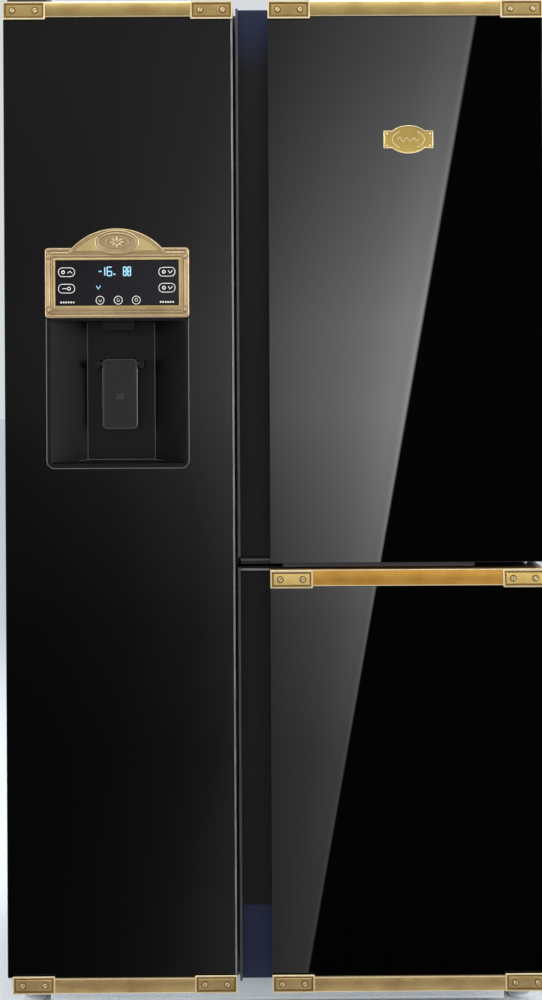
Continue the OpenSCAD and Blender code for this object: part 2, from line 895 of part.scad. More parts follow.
lower_door_trims();
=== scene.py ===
import math

import bmesh
import bpy
from mathutils import Matrix, Vector


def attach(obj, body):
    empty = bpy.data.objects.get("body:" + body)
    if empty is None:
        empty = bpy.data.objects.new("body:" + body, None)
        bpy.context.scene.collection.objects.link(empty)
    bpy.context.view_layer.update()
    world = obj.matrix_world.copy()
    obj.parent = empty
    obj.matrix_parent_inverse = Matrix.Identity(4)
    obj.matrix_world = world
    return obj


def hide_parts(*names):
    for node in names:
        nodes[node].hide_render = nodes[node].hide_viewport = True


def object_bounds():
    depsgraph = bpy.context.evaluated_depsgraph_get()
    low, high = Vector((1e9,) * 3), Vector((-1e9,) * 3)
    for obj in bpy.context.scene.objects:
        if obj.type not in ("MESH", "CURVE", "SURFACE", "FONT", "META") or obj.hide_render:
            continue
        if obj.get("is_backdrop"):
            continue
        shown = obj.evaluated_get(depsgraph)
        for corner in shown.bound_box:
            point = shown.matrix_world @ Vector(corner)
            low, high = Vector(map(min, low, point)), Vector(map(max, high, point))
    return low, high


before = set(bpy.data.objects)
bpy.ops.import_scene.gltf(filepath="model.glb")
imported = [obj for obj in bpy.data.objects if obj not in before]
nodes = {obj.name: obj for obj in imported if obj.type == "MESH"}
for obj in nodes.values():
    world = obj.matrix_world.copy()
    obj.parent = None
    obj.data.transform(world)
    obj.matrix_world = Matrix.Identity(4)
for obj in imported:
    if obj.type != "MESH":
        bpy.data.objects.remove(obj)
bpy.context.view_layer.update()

# ---- Steel case and rear panel ----
# The wrapper is folded from pre-painted steel: charcoal polyester paint with a fine orange peel.
# The rear panel is plain zinc-coated sheet, pressed and riveted, with a dull spangle.


def linear(colour):
    """sRGB hex to linear RGBA"""
    parts = [int(colour[i:i + 2], 16) / 255 for i in (1, 3, 5)]
    return tuple(c / 12.92 if c <= 0.04045 else ((c + 0.055) / 1.055) ** 2.4 for c in parts) + (1.0,)


def put(tree, kind, **settings):
    """adds a node; a key is a property of the node or an input (name, or i and its number), set or linked"""
    made = tree.nodes.new(kind)
    for key, value in settings.items():
        if key in made.bl_rna.properties:
            setattr(made, key, value)
            continue
        socket = made.inputs[int(key[1:])] if key[1:].isdigit() else made.inputs[key.replace("_", " ")]
        if isinstance(value, bpy.types.NodeSocket):
            tree.links.new(value, socket)
        else:
            socket.default_value = value
    return made


def finish(name, colours, grain_mm, rough, metal=0.0, stretch=(1, 1, 1), bump=0.0, spread=0.35, **sockets):
    """a surface whose colour and gloss drift between two values each, over a grain of that size"""
    made = bpy.data.materials.new(name)
    made.use_nodes = True
    tree = made.node_tree
    shader = tree.nodes["Principled BSDF"]
    place = put(tree, "ShaderNodeTexCoord").outputs["Object"]
    place = put(tree, "ShaderNodeMapping", Vector=place, Scale=stretch).outputs[0]
    noise = put(tree, "ShaderNodeTexNoise", Vector=place, Scale=1000 / grain_mm, Detail=4.0).outputs["Fac"]
    blend = put(tree, "ShaderNodeMapRange", Value=noise, i1=0.5 - spread / 2, i2=0.5 + spread / 2).outputs[0]
    tint = put(tree, "ShaderNodeMix", data_type="RGBA", i0=blend, i6=linear(colours[0]), i7=linear(colours[1]))
    tree.links.new(tint.outputs[2], shader.inputs["Base Color"])
    gloss = put(tree, "ShaderNodeMapRange", Value=noise, i1=0.3, i2=0.7, i3=rough[0], i4=rough[1]).outputs[0]
    tree.links.new(gloss, shader.inputs["Roughness"])
    shader.inputs["Metallic"].default_value = metal
    if bump:
        relief = put(tree, "ShaderNodeBump", Height=noise, Strength=bump, Distance=0.0005).outputs[0]
        tree.links.new(relief, shader.inputs["Normal"])
    for key, value in sockets.items():
        shader.inputs[key.replace("_", " ")].default_value = value
    return made


def dress(material, *names):
    """gives CAD nodes their material"""
    for name in names:
        data = nodes[name].data
        data.materials.clear()
        data.materials.append(material)


MM = 0.001


def piece(name, body, slot, materials, *stands_for):
    """an empty mesh piece with its materials and body, returned as the object; its slot is not used"""
    data = bpy.data.meshes.new(name)
    made = bpy.data.objects.new(name, data)
    bpy.context.collection.objects.link(made)
    for material in materials:
        data.materials.append(material)
    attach(made, body)
    if stands_for:
        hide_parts(*stands_for)
    return made


def bands(shape, loops, finishes=0, start=True, end=True):
    """skins closed loops of equal length, in millimetres, one after another; caps the first and last"""
    rows = [[shape.verts.new(Vector(p) * MM) for p in loop] for loop in loops]
    for i, (a, b) in enumerate(zip(rows, rows[1:])):
        for j in range(len(a)):
            k = (j + 1) % len(a)
            face = shape.faces.new((a[j], a[k], b[k], b[j]))
            face.material_index = finishes if isinstance(finishes, int) else finishes[i]
    for row, wanted, n in ((rows[0][::-1], start, 0), (rows[-1], end, -1)):
        if wanted:
            shape.faces.new(row).material_index = finishes if isinstance(finishes, int) else finishes[n]
    return rows


def pour(shape, made, smooth_deg=35):
    """puts a finished shape into its piece, with its normals outwards"""
    bmesh.ops.recalc_face_normals(shape, faces=shape.faces)
    for edge in shape.edges:
        edge.smooth = len(edge.link_faces) != 2 or edge.calc_face_angle(0) < math.radians(smooth_deg)
    for face in shape.faces:
        face.smooth = True
    shape.to_mesh(made.data)
    shape.free()
    return made


def bar(shape, x0, x1, y0, y1, z0, z1, ease=0.4, finish_index=0):
    """a straight bar with all its edges eased"""
    bands(shape, [[(x0 + d, y0 + d, z), (x1 - d, y0 + d, z), (x1 - d, y1 - d, z), (x0 + d, y1 - d, z)]
                  for d, z in ((ease, z0), (0, z0 + ease), (0, z1 - ease), (ease, z1))], finish_index)


def settle(made, tree, **values):
    """runs a Geometry Nodes tree on a piece with the given inputs and keeps the result as its plain mesh"""
    modifier = made.modifiers.new(tree.name, "NODES")
    modifier.node_group = tree
    sockets = {s.name: s.identifier for s in tree.interface.items_tree if s.in_out == "INPUT"}
    for key, value in values.items():
        modifier[sockets[key.replace("_", " ")]] = value
    bpy.context.view_layer.update()
    result = bpy.data.meshes.new_from_object(made.evaluated_get(bpy.context.evaluated_depsgraph_get()))
    made.modifiers.clear()
    old, made.data = made.data, result
    bpy.data.meshes.remove(old)
    return made


def screw_tree():
    """slotted raised heads in dark seats on the mesh's points, each turned by the point's own turn; the dark of
    the seats and of the slot faces is painted shade
    """
    tree = bpy.data.node_groups.new("slotted_screws", "GeometryNodeTree")
    face = tree.interface
    face.new_socket("Geometry", in_out="INPUT", socket_type="NodeSocketGeometry")
    for name, value in (("Seat radius", 0.00575), ("Head height", 0.0018), ("Facing", math.pi / 2)):
        face.new_socket(name, in_out="INPUT", socket_type="NodeSocketFloat").default_value = value
    for name in ("Finish", "Seat finish"):
        face.new_socket(name, in_out="INPUT", socket_type="NodeSocketMaterial")
    face.new_socket("Geometry", in_out="OUTPUT", socket_type="NodeSocketGeometry")
    given = tree.nodes.new("NodeGroupInput").outputs
    seat_radius, height = given["Seat radius"], given["Head height"]

    def part(share, by=seat_radius):
        return put(tree, "ShaderNodeMath", operation="MULTIPLY", i0=by, i1=share).outputs[0]
    seat = put(tree, "GeometryNodeMeshCone", Vertices=32, Radius_Top=part(0.94), Radius_Bottom=seat_radius,
               Depth=part(0.3, height)).outputs["Mesh"]
    head = put(tree, "GeometryNodeMeshCone", Vertices=32, Radius_Top=part(0.62), Radius_Bottom=part(0.78),
               Depth=height).outputs["Mesh"]
    bar_size = put(tree, "ShaderNodeCombineXYZ", X=part(3.0), Y=part(0.2), Z=part(0.9, height)).outputs[0]
    lift = put(tree, "ShaderNodeCombineXYZ", Z=height).outputs[0]
    slot = put(tree, "GeometryNodeMeshCube", Size=bar_size).outputs[0]
    cutter = put(tree, "GeometryNodeTransform", Geometry=slot, Translation=lift).outputs[0]
    # the slot's faces and the seat take the seat finish: painted shade in the slot and under the head
    cutter = put(tree, "GeometryNodeSetMaterial", Geometry=cutter, Material=given["Seat finish"]).outputs[0]
    seat = put(tree, "GeometryNodeSetMaterial", Geometry=seat, Material=given["Seat finish"]).outputs[0]
    head = put(tree, "GeometryNodeSetMaterial", Geometry=head, Material=given["Finish"]).outputs[0]
    head = put(tree, "GeometryNodeMeshBoolean", operation="DIFFERENCE", Mesh_1=head, Mesh_2=cutter).outputs[0]
    both = put(tree, "GeometryNodeJoinGeometry")
    tree.links.new(seat, both.inputs[0])
    tree.links.new(head, both.inputs[0])
    turn = put(tree, "GeometryNodeInputNamedAttribute", data_type="FLOAT", Name="turn").outputs["Attribute"]
    facing = put(tree, "ShaderNodeCombineXYZ", X=given["Facing"]).outputs[0]
    heads = put(tree, "GeometryNodeInstanceOnPoints", Points=given["Geometry"], Instance=both.outputs[0],
                Rotation=facing).outputs[0]
    heads = put(tree, "GeometryNodeRotateInstances", Instances=heads,
                Rotation=put(tree, "ShaderNodeCombineXYZ", Z=turn).outputs[0]).outputs[0]
    solid = put(tree, "GeometryNodeRealizeInstances", Geometry=heads).outputs[0]
    tree.links.new(solid, put(tree, "NodeGroupOutput").inputs[0])
    return tree


slotted_screws = screw_tree()


def screws(name, body, spots, radius, height, material, seat, slot="antique_brass", back=False):
    """slotted screws facing the front or the back: spots are (x, y, z, slot turn in degrees), in millimetres"""
    made = piece(name, body, slot, [])
    made.data.from_pydata([(x * MM, y * MM, z * MM) for x, y, z, _ in spots], [], [])
    turns = made.data.attributes.new("turn", "FLOAT", "POINT")
    for i, spot in enumerate(spots):
        turns.data[i].value = math.radians(spot[3])
    settle(made, slotted_screws, Seat_radius=radius * MM, Head_height=height * MM, Finish=material,
           Seat_finish=seat, Facing=-math.pi / 2 if back else math.pi / 2)
    return made


charcoal_paint = finish("charcoal_polyester_paint_on_steel", ("#26272a", "#2d2e31"), 1.6, (0.38, 0.46),
                        bump=0.12)
zinc_sheet = finish("zinc_coated_steel_sheet", ("#a5a8aa", "#b0b2b4"), 7.0, (0.38, 0.46), metal=0.85, bump=0.04)
zinc_screw = finish("zinc_plated_screw", ("#b9babb", "#c9cacb"), 3.0, (0.25, 0.35), metal=1.0)
dark_seat = finish("shadowed_screw_seat", ("#3a3b3c", "#444546"), 2.0, (0.6, 0.7), metal=0.6)
dress(charcoal_paint, "outer_case")
dress(zinc_sheet, "rear_panel")
ribs = piece("rear_panel_ribs", "cabinet", "galvanised", [zinc_sheet])
shape = bmesh.new()
for x in (-380, -190, 0, 190, 380):
    for z0, z1 in ((360, 1130), (1470, 1690)):
        bands(shape, [[(x + 14 * k * c, y, zc + (h + 14 * k) * d) for c, d in
                       ((-1, -1), (1, -1), (1, 1), (-1, 1))] for zc, h in (((z0 + z1) / 2, (z1 - z0) / 2),)
                      for k, y in ((1.0, 350.0), (0.7, 351.6), (0.5, 352.0))], 0, False, True)
pour(shape, ribs, 50)
rear_spots = [(x, 350.1, z, 10 + x / 7 + z / 11) for z in (312, 1728) for x in range(-420, 421, 120)]
rear_spots += [(x, 350.1, z, x / 9 + z / 13) for x in (-440, 440) for z in range(440, 1641, 200)]
screws("rear_panel_screws", "cabinet", rear_spots, 4.5, 2.0, zinc_screw, dark_seat, "galvanised", True)

# ---- Base chassis, hinges, covers and kick grille ----
# The chassis is folded galvanised steel; the hinges are pressed steel, nickel plated and tumbled. Hinge
# covers and kick grille are snapped-on mouldings; the grille has fine upright fins to let air through.


def round_rect(x0, x1, z0, z1, r, steps=6):
    """points of a rectangle with round corners, anticlockwise from the right-hand lower corner"""
    r = max(r, 0.05)
    corners = ((x1 - r, z0 + r, -90), (x1 - r, z1 - r, 0), (x0 + r, z1 - r, 90), (x0 + r, z0 + r, 180))
    turns = [(x, z, math.radians(a0 + 90 * i / steps)) for x, z, a0 in corners for i in range(steps + 1)]
    return [(x + r * math.cos(a), z + r * math.sin(a)) for x, z, a in turns]


def at_y(outline, y):
    """a front outline (x, z) placed at depth y"""
    return [(x, y, z) for x, z in outline]


def at_z(outline, z):
    """a plan outline (x, y) placed at height z"""
    return [(x, y, z) for x, y in outline]


def copies_tree(name, *vectors):
    """a tree that takes the piece's own mesh, a count, vectors and a finish; returns it with its inputs"""
    tree = bpy.data.node_groups.new(name, "GeometryNodeTree")
    face = tree.interface
    face.new_socket("Geometry", in_out="INPUT", socket_type="NodeSocketGeometry")
    face.new_socket("Count", in_out="INPUT", socket_type="NodeSocketInt").default_value = 6
    for vector in vectors:
        face.new_socket(vector, in_out="INPUT", socket_type="NodeSocketVector")
    face.new_socket("Finish", in_out="INPUT", socket_type="NodeSocketMaterial")
    face.new_socket("Geometry", in_out="OUTPUT", socket_type="NodeSocketGeometry")
    return tree, tree.nodes.new("NodeGroupInput").outputs


def make_real(tree, given, copies):
    """ends a tree of copies: real geometry in the given finish"""
    made = put(tree, "GeometryNodeRealizeInstances", Geometry=copies).outputs[0]
    made = put(tree, "GeometryNodeSetMaterial", Geometry=made, Material=given["Finish"]).outputs[0]
    tree.links.new(made, put(tree, "NodeGroupOutput").inputs[0])
    return tree


def row_tree():
    """copies of the piece's own mesh in a straight row"""
    tree, given = copies_tree("straight_row", "Step")
    line = put(tree, "GeometryNodeMeshLine", Count=given["Count"], Offset=given["Step"]).outputs[0]
    return make_real(tree, given, put(tree, "GeometryNodeInstanceOnPoints", Points=line,
                                      Instance=given["Geometry"]).outputs[0])


def ring_tree():
    """copies of the piece's own mesh turned evenly round an axis through a centre"""
    tree, given = copies_tree("round_an_axis", "Axis", "Centre")
    spots = put(tree, "GeometryNodePoints", Count=given["Count"], Position=given["Centre"]).outputs[0]
    share = put(tree, "ShaderNodeMath", operation="DIVIDE", i0=put(tree, "GeometryNodeInputIndex").outputs[0],
                i1=given["Count"]).outputs[0]
    angle = put(tree, "ShaderNodeMath", operation="MULTIPLY", i0=share, i1=2 * math.pi).outputs[0]
    turn = put(tree, "FunctionNodeAxisAngleToRotation", Axis=given["Axis"], Angle=angle).outputs[0]
    return make_real(tree, given, put(tree, "GeometryNodeInstanceOnPoints", Points=spots,
                                      Instance=given["Geometry"], Rotation=turn).outputs[0])


straight_row, round_an_axis = row_tree(), ring_tree()


def bars(name, body, slot, material, boxes, *stands_for):
    """a piece of straight bars: each box is (x0, x1, y0, y1, z0, z1, ease)"""
    shape = bmesh.new()
    for box in boxes:
        bar(shape, *box)
    return pour(shape, piece(name, body, slot, [material], *stands_for))


def first_of(name, body, slot, material, draw, *stands_for):
    """a piece that holds the first of its equal parts"""
    shape = bmesh.new()
    draw(shape)
    return pour(shape, piece(name, body, slot, [material], *stands_for))


def row(name, body, slot, material, count, step, draw, *stands_for):
    """a piece of equal parts in a straight row: draw(shape) makes the first, step is in millimetres"""
    made = first_of(name, body, slot, material, draw, *stands_for)
    return settle(made, straight_row, Count=count, Step=[v * MM for v in step], Finish=material)


def ring(name, body, slot, material, count, axis, centre, draw, *stands_for):
    """a piece of equal parts round an axis: draw(shape) makes the first about the origin"""
    made = first_of(name, body, slot, material, draw, *stands_for)
    return settle(made, round_an_axis, Count=count, Axis=axis, Centre=[v * MM for v in centre],
                  Finish=material)


galvanised = finish("hot_dip_galvanised_steel", ("#989b9d", "#a8abad"), 10.0, (0.42, 0.54), metal=0.8,
                    bump=0.05)
nickel_plate = finish("tumbled_nickel_plated_steel", ("#a9a8a4", "#bdbcb8"), 3.0, (0.24, 0.36), metal=1.0,
                      bump=0.04)
black_abs = finish("spark_eroded_black_abs", ("#141415", "#1c1c1e"), 0.9, (0.42, 0.55), bump=0.15)
pale_pp = finish("pale_grey_polypropylene", ("#cfd4d8", "#d7dbdf"), 1.2, (0.45, 0.55), bump=0.05)
dress(galvanised, "base_chassis")
dress(nickel_plate, "door_hinges")
covers = piece("hinge_cover_caps", "cabinet", "dark_plastic", [black_abs], "hinge_covers")
shape = bmesh.new()
for side in (-1, 1):
    x = side * 422
    steps = ((34, 0, 1742), (34, 0, 1766.5), (33.2, 0.8, 1768.8), (31.5, 2.5, 1770), (28, 12, 1770),
             (28, 12, 1776.5), (27, 13, 1779), (25, 15, 1780))
    bands(shape, [at_z(round_rect(x - w, x + w, -330 + d, -175 - d * 0.75, 9 - d * 0.2), z)
                  for w, d, z in steps], 0, False, True)
pour(shape, covers, 40)
kick = [(-398, 398, -262, -250, z0, z1, 0.8) for z0, z1 in ((10, 17), (48, 55))]
kick += [(x, x + 8, -261.6, -250, 15, 50, 0.8) for x in (-398, -4, 390)]
kick += [(x, x + 8, -251, -246.5, 14, 51, 0.5) for x in (-380, 372)]
kick.append((-397, 397, -260.7, -250, 12, 54, 0.3))
bars("kick_grille_frame", "cabinet", "kick_grey", pale_pp, kick, "kick_grille")
row("kick_grille_fins", "cabinet", "kick_grey", pale_pp, 98, (7.98, 0, 0),
    lambda shape: bar(shape, -389.6, -385.4, -261.5, -260, 16, 49.5, 0.4))

# ---- Foam insulation ----
# Polyurethane foam poured between the case and the liners, straw coloured, with open cells at its skin.

foam = finish("poured_polyurethane_foam", ("#d9c68c", "#c9b374"), 2.2, (0.85, 0.95), bump=0.5)
dress(foam, "insulation")

# ---- Cavity liners, air ducts and lamps ----
# Liners are vacuum-formed white polystyrene, satin; the duct panels are moulded from the same white with
# louvred outlets. The lamps are frosted lenses over LED boards.

white_ps = finish("vacuum_formed_white_polystyrene", ("#e9ebec", "#f1f2f3"), 2.5, (0.28, 0.36), bump=0.05)
white_trim = finish("gloss_white_shelf_trim", ("#eef0f1", "#f6f7f7"), 3.0, (0.16, 0.24), bump=0.02)
vent_grey = finish("cool_grey_moulded_louvre", ("#aeb3b7", "#b9bec2"), 1.5, (0.4, 0.5), bump=0.05)
dress(white_ps, "freezer_liner", "fridge_liner", "lower_liner", "air_ducts", "freezer_door_liner",
      "upper_door_liner", "lower_door_liner")
for n, (x0, x1, face, z, count) in enumerate((
        (-330, -170, 238, 1225, 6), (-330, -170, 238, 1035, 5), (-330, -170, 238, 660, 5),
        (120, 250, 272, 900, 6), (120, 250, 272, 1110, 5), (120, 250, 272, 1330, 5), (120, 250, 272, 1560, 5))):
    row("duct_louvres_%d" % n, "cabinet", "liner_white", vent_grey, count, (0, 0, 11),
        lambda shape: bar(shape, x0, x1, face - 2.2, face + 0.4, z, z + 5.5, 0.6))
row("freezer_fan_guard", "cabinet", "liner_white", vent_grey, 13, (0, 0, 9.4),
    lambda shape: bar(shape, -318, -182, 235.6, 238.2, 842, 845.2, 0.5))
frosted_lens = finish("frosted_polycarbonate_lens", ("#f2f3ee", "#ffffff"), 1.5, (0.5, 0.6),
                      Emission_Strength=7.0, Emission_Color=linear("#fffaf0"))
dress(frosted_lens, "ceiling_lamps")

# ---- Shelves ----
# Toughened clear glass 6 mm thick, its front edge held in a white snap-on trim, the back edge in a rail.

clear_glass = finish("toughened_clear_glass", ("#eef7f6", "#f2faf9"), 40.0, (0.01, 0.03),
                     Transmission_Weight=0.95, IOR=1.5)
dress(clear_glass, "freezer_shelves", "fridge_shelves")
trims = []
for x0, x1, back, heights in ((-402.5, -97.5, 236, (600, 790, 980, 1170)),
                              (-34.5, 402.5, 268, (1052, 1270, 1480)), (-34.5, 402.5, 288, (622,))):
    for z in heights:
        trims += [(x0, x1, -147.0, -142.1, z - 1.5, z + 7.5, 1.2),
                  (x0, x1, -142.2, -128, z + 6.05, z + 7.5, 0.3),
                  (x0, x1, back - 9, back - 0.5, z + 6.05, z + 9, 0.6)]
bars("shelf_trims", "cabinet", "liner_white", white_trim, trims)

# ---- Ice maker, bucket and auger ----
# A grey housing over the ice tray, a clear bucket, and a stainless screw that feeds the cubes forward.

grey_abs = finish("mid_grey_abs", ("#8b8e90", "#989b9d"), 1.2, (0.42, 0.52), bump=0.1)
clear_ps = finish("clear_moulded_polystyrene", ("#eff6f9", "#f6fafc"), 6.0, (0.05, 0.1),
                  Transmission_Weight=0.93, IOR=1.59, bump=0.03)
stainless = finish("plain_stainless_steel", ("#b4b6b7", "#c6c8c9"), 5.0, (0.2, 0.32), metal=1.0, bump=0.03)
dress(grey_abs, "ice_maker")
dress(clear_ps, "ice_bucket")
auger = piece("ice_feed_screw", "auger", "steel_auger", [stainless], "ice_auger")
shape = bmesh.new()


def turned(shape, profile, centre, axis=1, steps=32, finishes=0, start=True, end=True):
    """a turned part: profile is (place along the axis, radius), round the axis 0, 1 or 2 through centre"""
    loops = []
    for place, radius in profile:
        loop = []
        for i in range(steps):
            point = list(centre)
            a = 2 * math.pi * i / steps
            point[axis] = place
            point[(axis + 1) % 3] += radius * math.cos(a)
            point[(axis + 2) % 3] += radius * math.sin(a)
            loop.append(point)
        loops.append(loop)
    bands(shape, loops, finishes, start, end)


AUGER_X, AUGER_Z, PITCH, TURN_STEPS = -265, 1379, 28, 24
turned(shape, ((-150, 4.8), (-149, 5.6), (157, 5.6), (158, 4.8)), (AUGER_X, 0, AUGER_Z), 1, 20)
flight = []
for i in range(TURN_STEPS * 10 + 6):
    a = 2 * math.pi * i / TURN_STEPS
    y = -146 + PITCH * i / TURN_STEPS
    flight.append([(AUGER_X + r * math.cos(a), y + d, AUGER_Z + r * math.sin(a)) for r, d in
                   ((5.2, 0), (23.6, 0.6), (24, 1.2), (23.6, 1.8), (5.2, 2.4))])
bands(shape, flight)
pour(shape, auger, 50)

# ---- Freezer tubs, crisper and lower tubs ----
# Clear moulded polystyrene drawers with a cold blue edge, each with a white grip bar along its front.

dress(clear_ps, "freezer_drawer_upper", "freezer_drawer_lower", "crisper_drawer", "lower_drawer_upper",
      "lower_drawer_lower")
for name, body, x0, x1, top in (("freezer_upper", "freezer_tub_upper", -388, -112, 560.3),
                                ("freezer_lower", "freezer_tub_lower", -388, -112, 330.3),
                                ("crisper", "crisper", -20, 388, 1030.3),
                                ("fridge_upper", "fridge_tub_upper", -20, 388, 600.3),
                                ("fridge_lower", "fridge_tub_lower", -20, 388, 330.3)):
    bars(name + "_tub_grip", body, "liner_white", white_trim,
         [(x0 + 6, x1 - 6, -147.6, -145.05, top - 46, top - 30, 1.0)])

# ---- Water filter ----
# A white cartridge with a ribbed twist cap and a grip bar, held by its neck in a socket at the top of the
# fridge's rear duct.

FILTER_AXIS = (340, 0, 1660)
cartridge = piece("water_filter_cartridge", "filter", "liner_white", [white_ps, white_trim], "water_filter")
shape = bmesh.new()
turned(shape, ((-80, 24.6), (-79.2, 26.2), (-77.5, 27), (-60, 27), (-58.6, 26.3), (-57, 26.3), (-55.6, 27),
               (108, 27), (113, 25.6), (115, 22.5), (115.4, 19.2), (124, 19.2), (124.6, 18.4), (127.6, 18.4),
               (128.2, 19.2), (142, 19.2), (143.4, 17.8)), FILTER_AXIS, 1, 48)
bar(shape, 334, 346, -98, -79.6, 1638, 1682, 2.0, 1)
pour(shape, cartridge, 40)
ring("water_filter_ribs", "filter", "liner_white", white_trim, 24, (0, 1, 0), FILTER_AXIS,
     lambda shape: bar(shape, -1.1, 1.1, -76.5, -61, 26.6, 27.7, 0.3))

# ---- Evaporator and its fan ----
# Bare aluminium fins and tubes behind the freezer's duct panel, and a grey moulded fan of swept blades.

bare_aluminium = finish("bare_mill_aluminium", ("#b9bcbf", "#cccfd1"), 6.0, (0.28, 0.4), metal=1.0, bump=0.04)
dress(bare_aluminium, "evaporator")


def fan_blade(shape, axis, hub, tip, chord, depth, middle):
    """a swept and twisted blade that rises from the hub along +Z, its shaft along the axis 0 or 1"""
    loops = []
    for i in range(9):
        r = hub - 2 + (tip - hub + 2) * i / 8
        wide = chord * (0.75 + 0.5 * i / 8) * (1 if i < 8 else 0.82)
        tilt = math.radians(52 - 22 * i / 8)
        sweep = 0.16 * i / 8 * tip
        loop = []
        for u, t in ((-0.5, 0.1), (-0.2, 0.9), (0.2, 0.9), (0.5, 0.1), (0.2, -0.6), (-0.2, -0.6)):
            along = max(-depth, min(depth, u * wide * math.sin(tilt) + t * math.cos(tilt)))
            across = sweep + u * wide * math.cos(tilt) - t * math.sin(tilt)
            loop.append((middle + along, across, r) if axis == 0 else (across, middle + along, r))
        loops.append(loop)
    bands(shape, loops)


def fan(name, body, axis, centre, hub, tip, chord, depth, bore, ends, *stands_for):
    """a moulded fan: a hollow hub and seven blades"""
    made = piece(name + "_hub", body, "grey_plastic", [grey_abs], *stands_for)
    shape = bmesh.new()
    turned(shape, ((ends[0], bore), (ends[0], hub - 2), (ends[0] + 2, hub), (ends[1], hub), (ends[1], bore),
                   (ends[0], bore)), centre, axis, 32, 0, False, False)
    bmesh.ops.remove_doubles(shape, verts=shape.verts, dist=1e-6)
    pour(shape, made)
    middle = list(centre)
    place = (ends[0] + ends[1]) / 2
    middle[axis] = 0
    ring(name + "_blades", body, "grey_plastic", grey_abs, 7, [float(axis == i) for i in range(3)], middle,
         lambda shape: fan_blade(shape, axis, hub, tip, chord, depth, place))


fan("evaporator_fan", "freezer_fan", 1, (-250, 0, 900), 15, 53.5, 26, 6.0, 3.2, (246, 260), "evaporator_fan")

# ---- Machine space ----
# The compressor and condenser are dipped in black enamel, the fan blows through a galvanised shroud, the
# valve is a blue nylon body, and the tray under the condenser is black polypropylene.

black_enamel = finish("dipped_black_enamel", ("#0b0b0c", "#121213"), 8.0, (0.22, 0.34), bump=0.05)
blue_nylon = finish("blue_moulded_nylon", ("#1f4f9a", "#2659a6"), 1.5, (0.35, 0.45), bump=0.06)
dress(black_enamel, "compressor", "condenser_coil")
dress(galvanised, "fan_shroud", "machine_cover")
dress(black_abs, "evaporating_tray")
dress(blue_nylon, "water_valve")
fan("condenser_fan", "cooling_fan", 0, (0, 230, 175), 20, 76, 36, 6.8, 4.2, (128, 142), "condenser_fan")
row("condenser_wires", "cabinet", "black_enamel", black_enamel, 42, (6.4, 0, 0),
    lambda shape: turned(shape, ((84, 0.8), (268, 0.8)), (-175, 144.9, 0), 2, 6))
cover_spots = [(x, 351.0, z, x / 5 + z) for x in (-430, -220, 0, 220, 430) for z in (72, 290)]
screws("machine_cover_screws", "cabinet", cover_spots, 4.5, 2.0, zinc_screw, dark_seat, "galvanised", True)

# ---- Feet and rollers ----
# Pale grey moulded feet on zinc-plated screws, and black nylon rollers, grooved round their rims, on
# steel axles.

black_nylon = finish("black_moulded_nylon", ("#111112", "#19191a"), 1.4, (0.45, 0.55), bump=0.08)
foot_grey = finish("pale_grey_moulded_foot", ("#b9bec2", "#c4c8cc"), 1.4, (0.5, 0.6), bump=0.06)
for side, body in ((-1, "left_foot"), (1, "right_foot")):
    foot = piece(body + "_pad", body, "foot_rubber", [foot_grey, zinc_screw],
                 "levelling_foot_left" if side < 0 else "levelling_foot_right")
    shape = bmesh.new()
    axis = (side * 432, -224, 0)
    turned(shape, ((0, 17.5), (0.8, 18.6), (2.5, 19), (6.0, 19), (7.4, 18.2), (8, 16.5), (8.6, 9), (9.5, 6.4)),
           axis, 2, 40)
    thread = []
    for i in range(30):
        thread += [(9.5 + i * 1.5, 5.2), (10.25 + i * 1.5, 6.0)]
    turned(shape, thread, axis, 2, 24, 1)
    pour(shape, foot, 50)
for name, y, z, r in (("front", -170, 20.5, 18), ("rear", 310, 20, 20)):
    rollers = piece(name + "_roller_wheels", name + "_roller_pair", "roller_plastic",
                    [black_nylon, nickel_plate], name + "_rollers")
    shape = bmesh.new()
    for x in (-426, 426):
        turned(shape, ((x - 7, r - 5), (x - 7, r - 1.5), (x - 5.5, r), (x - 1.5, r), (x - 1, r - 1),
                       (x + 1, r - 1), (x + 1.5, r), (x + 5.5, r), (x + 7, r - 1.5), (x + 7, r - 5)),
               (0, y, z), 0, 40)
        turned(shape, ((x - 15, 4.2), (x - 14.2, 5), (x + 14.2, 5), (x + 15, 4.2)), (0, y, z), 0, 24, 1)
    pour(shape, rollers)

# ---- Door bodies and seals ----
# Each door body is a folded steel skin, powder coated satin black, foamed behind. The grip channel is
# the same skin, with a navy painted reflection near its two ends. The seals are soft grey vinyl.


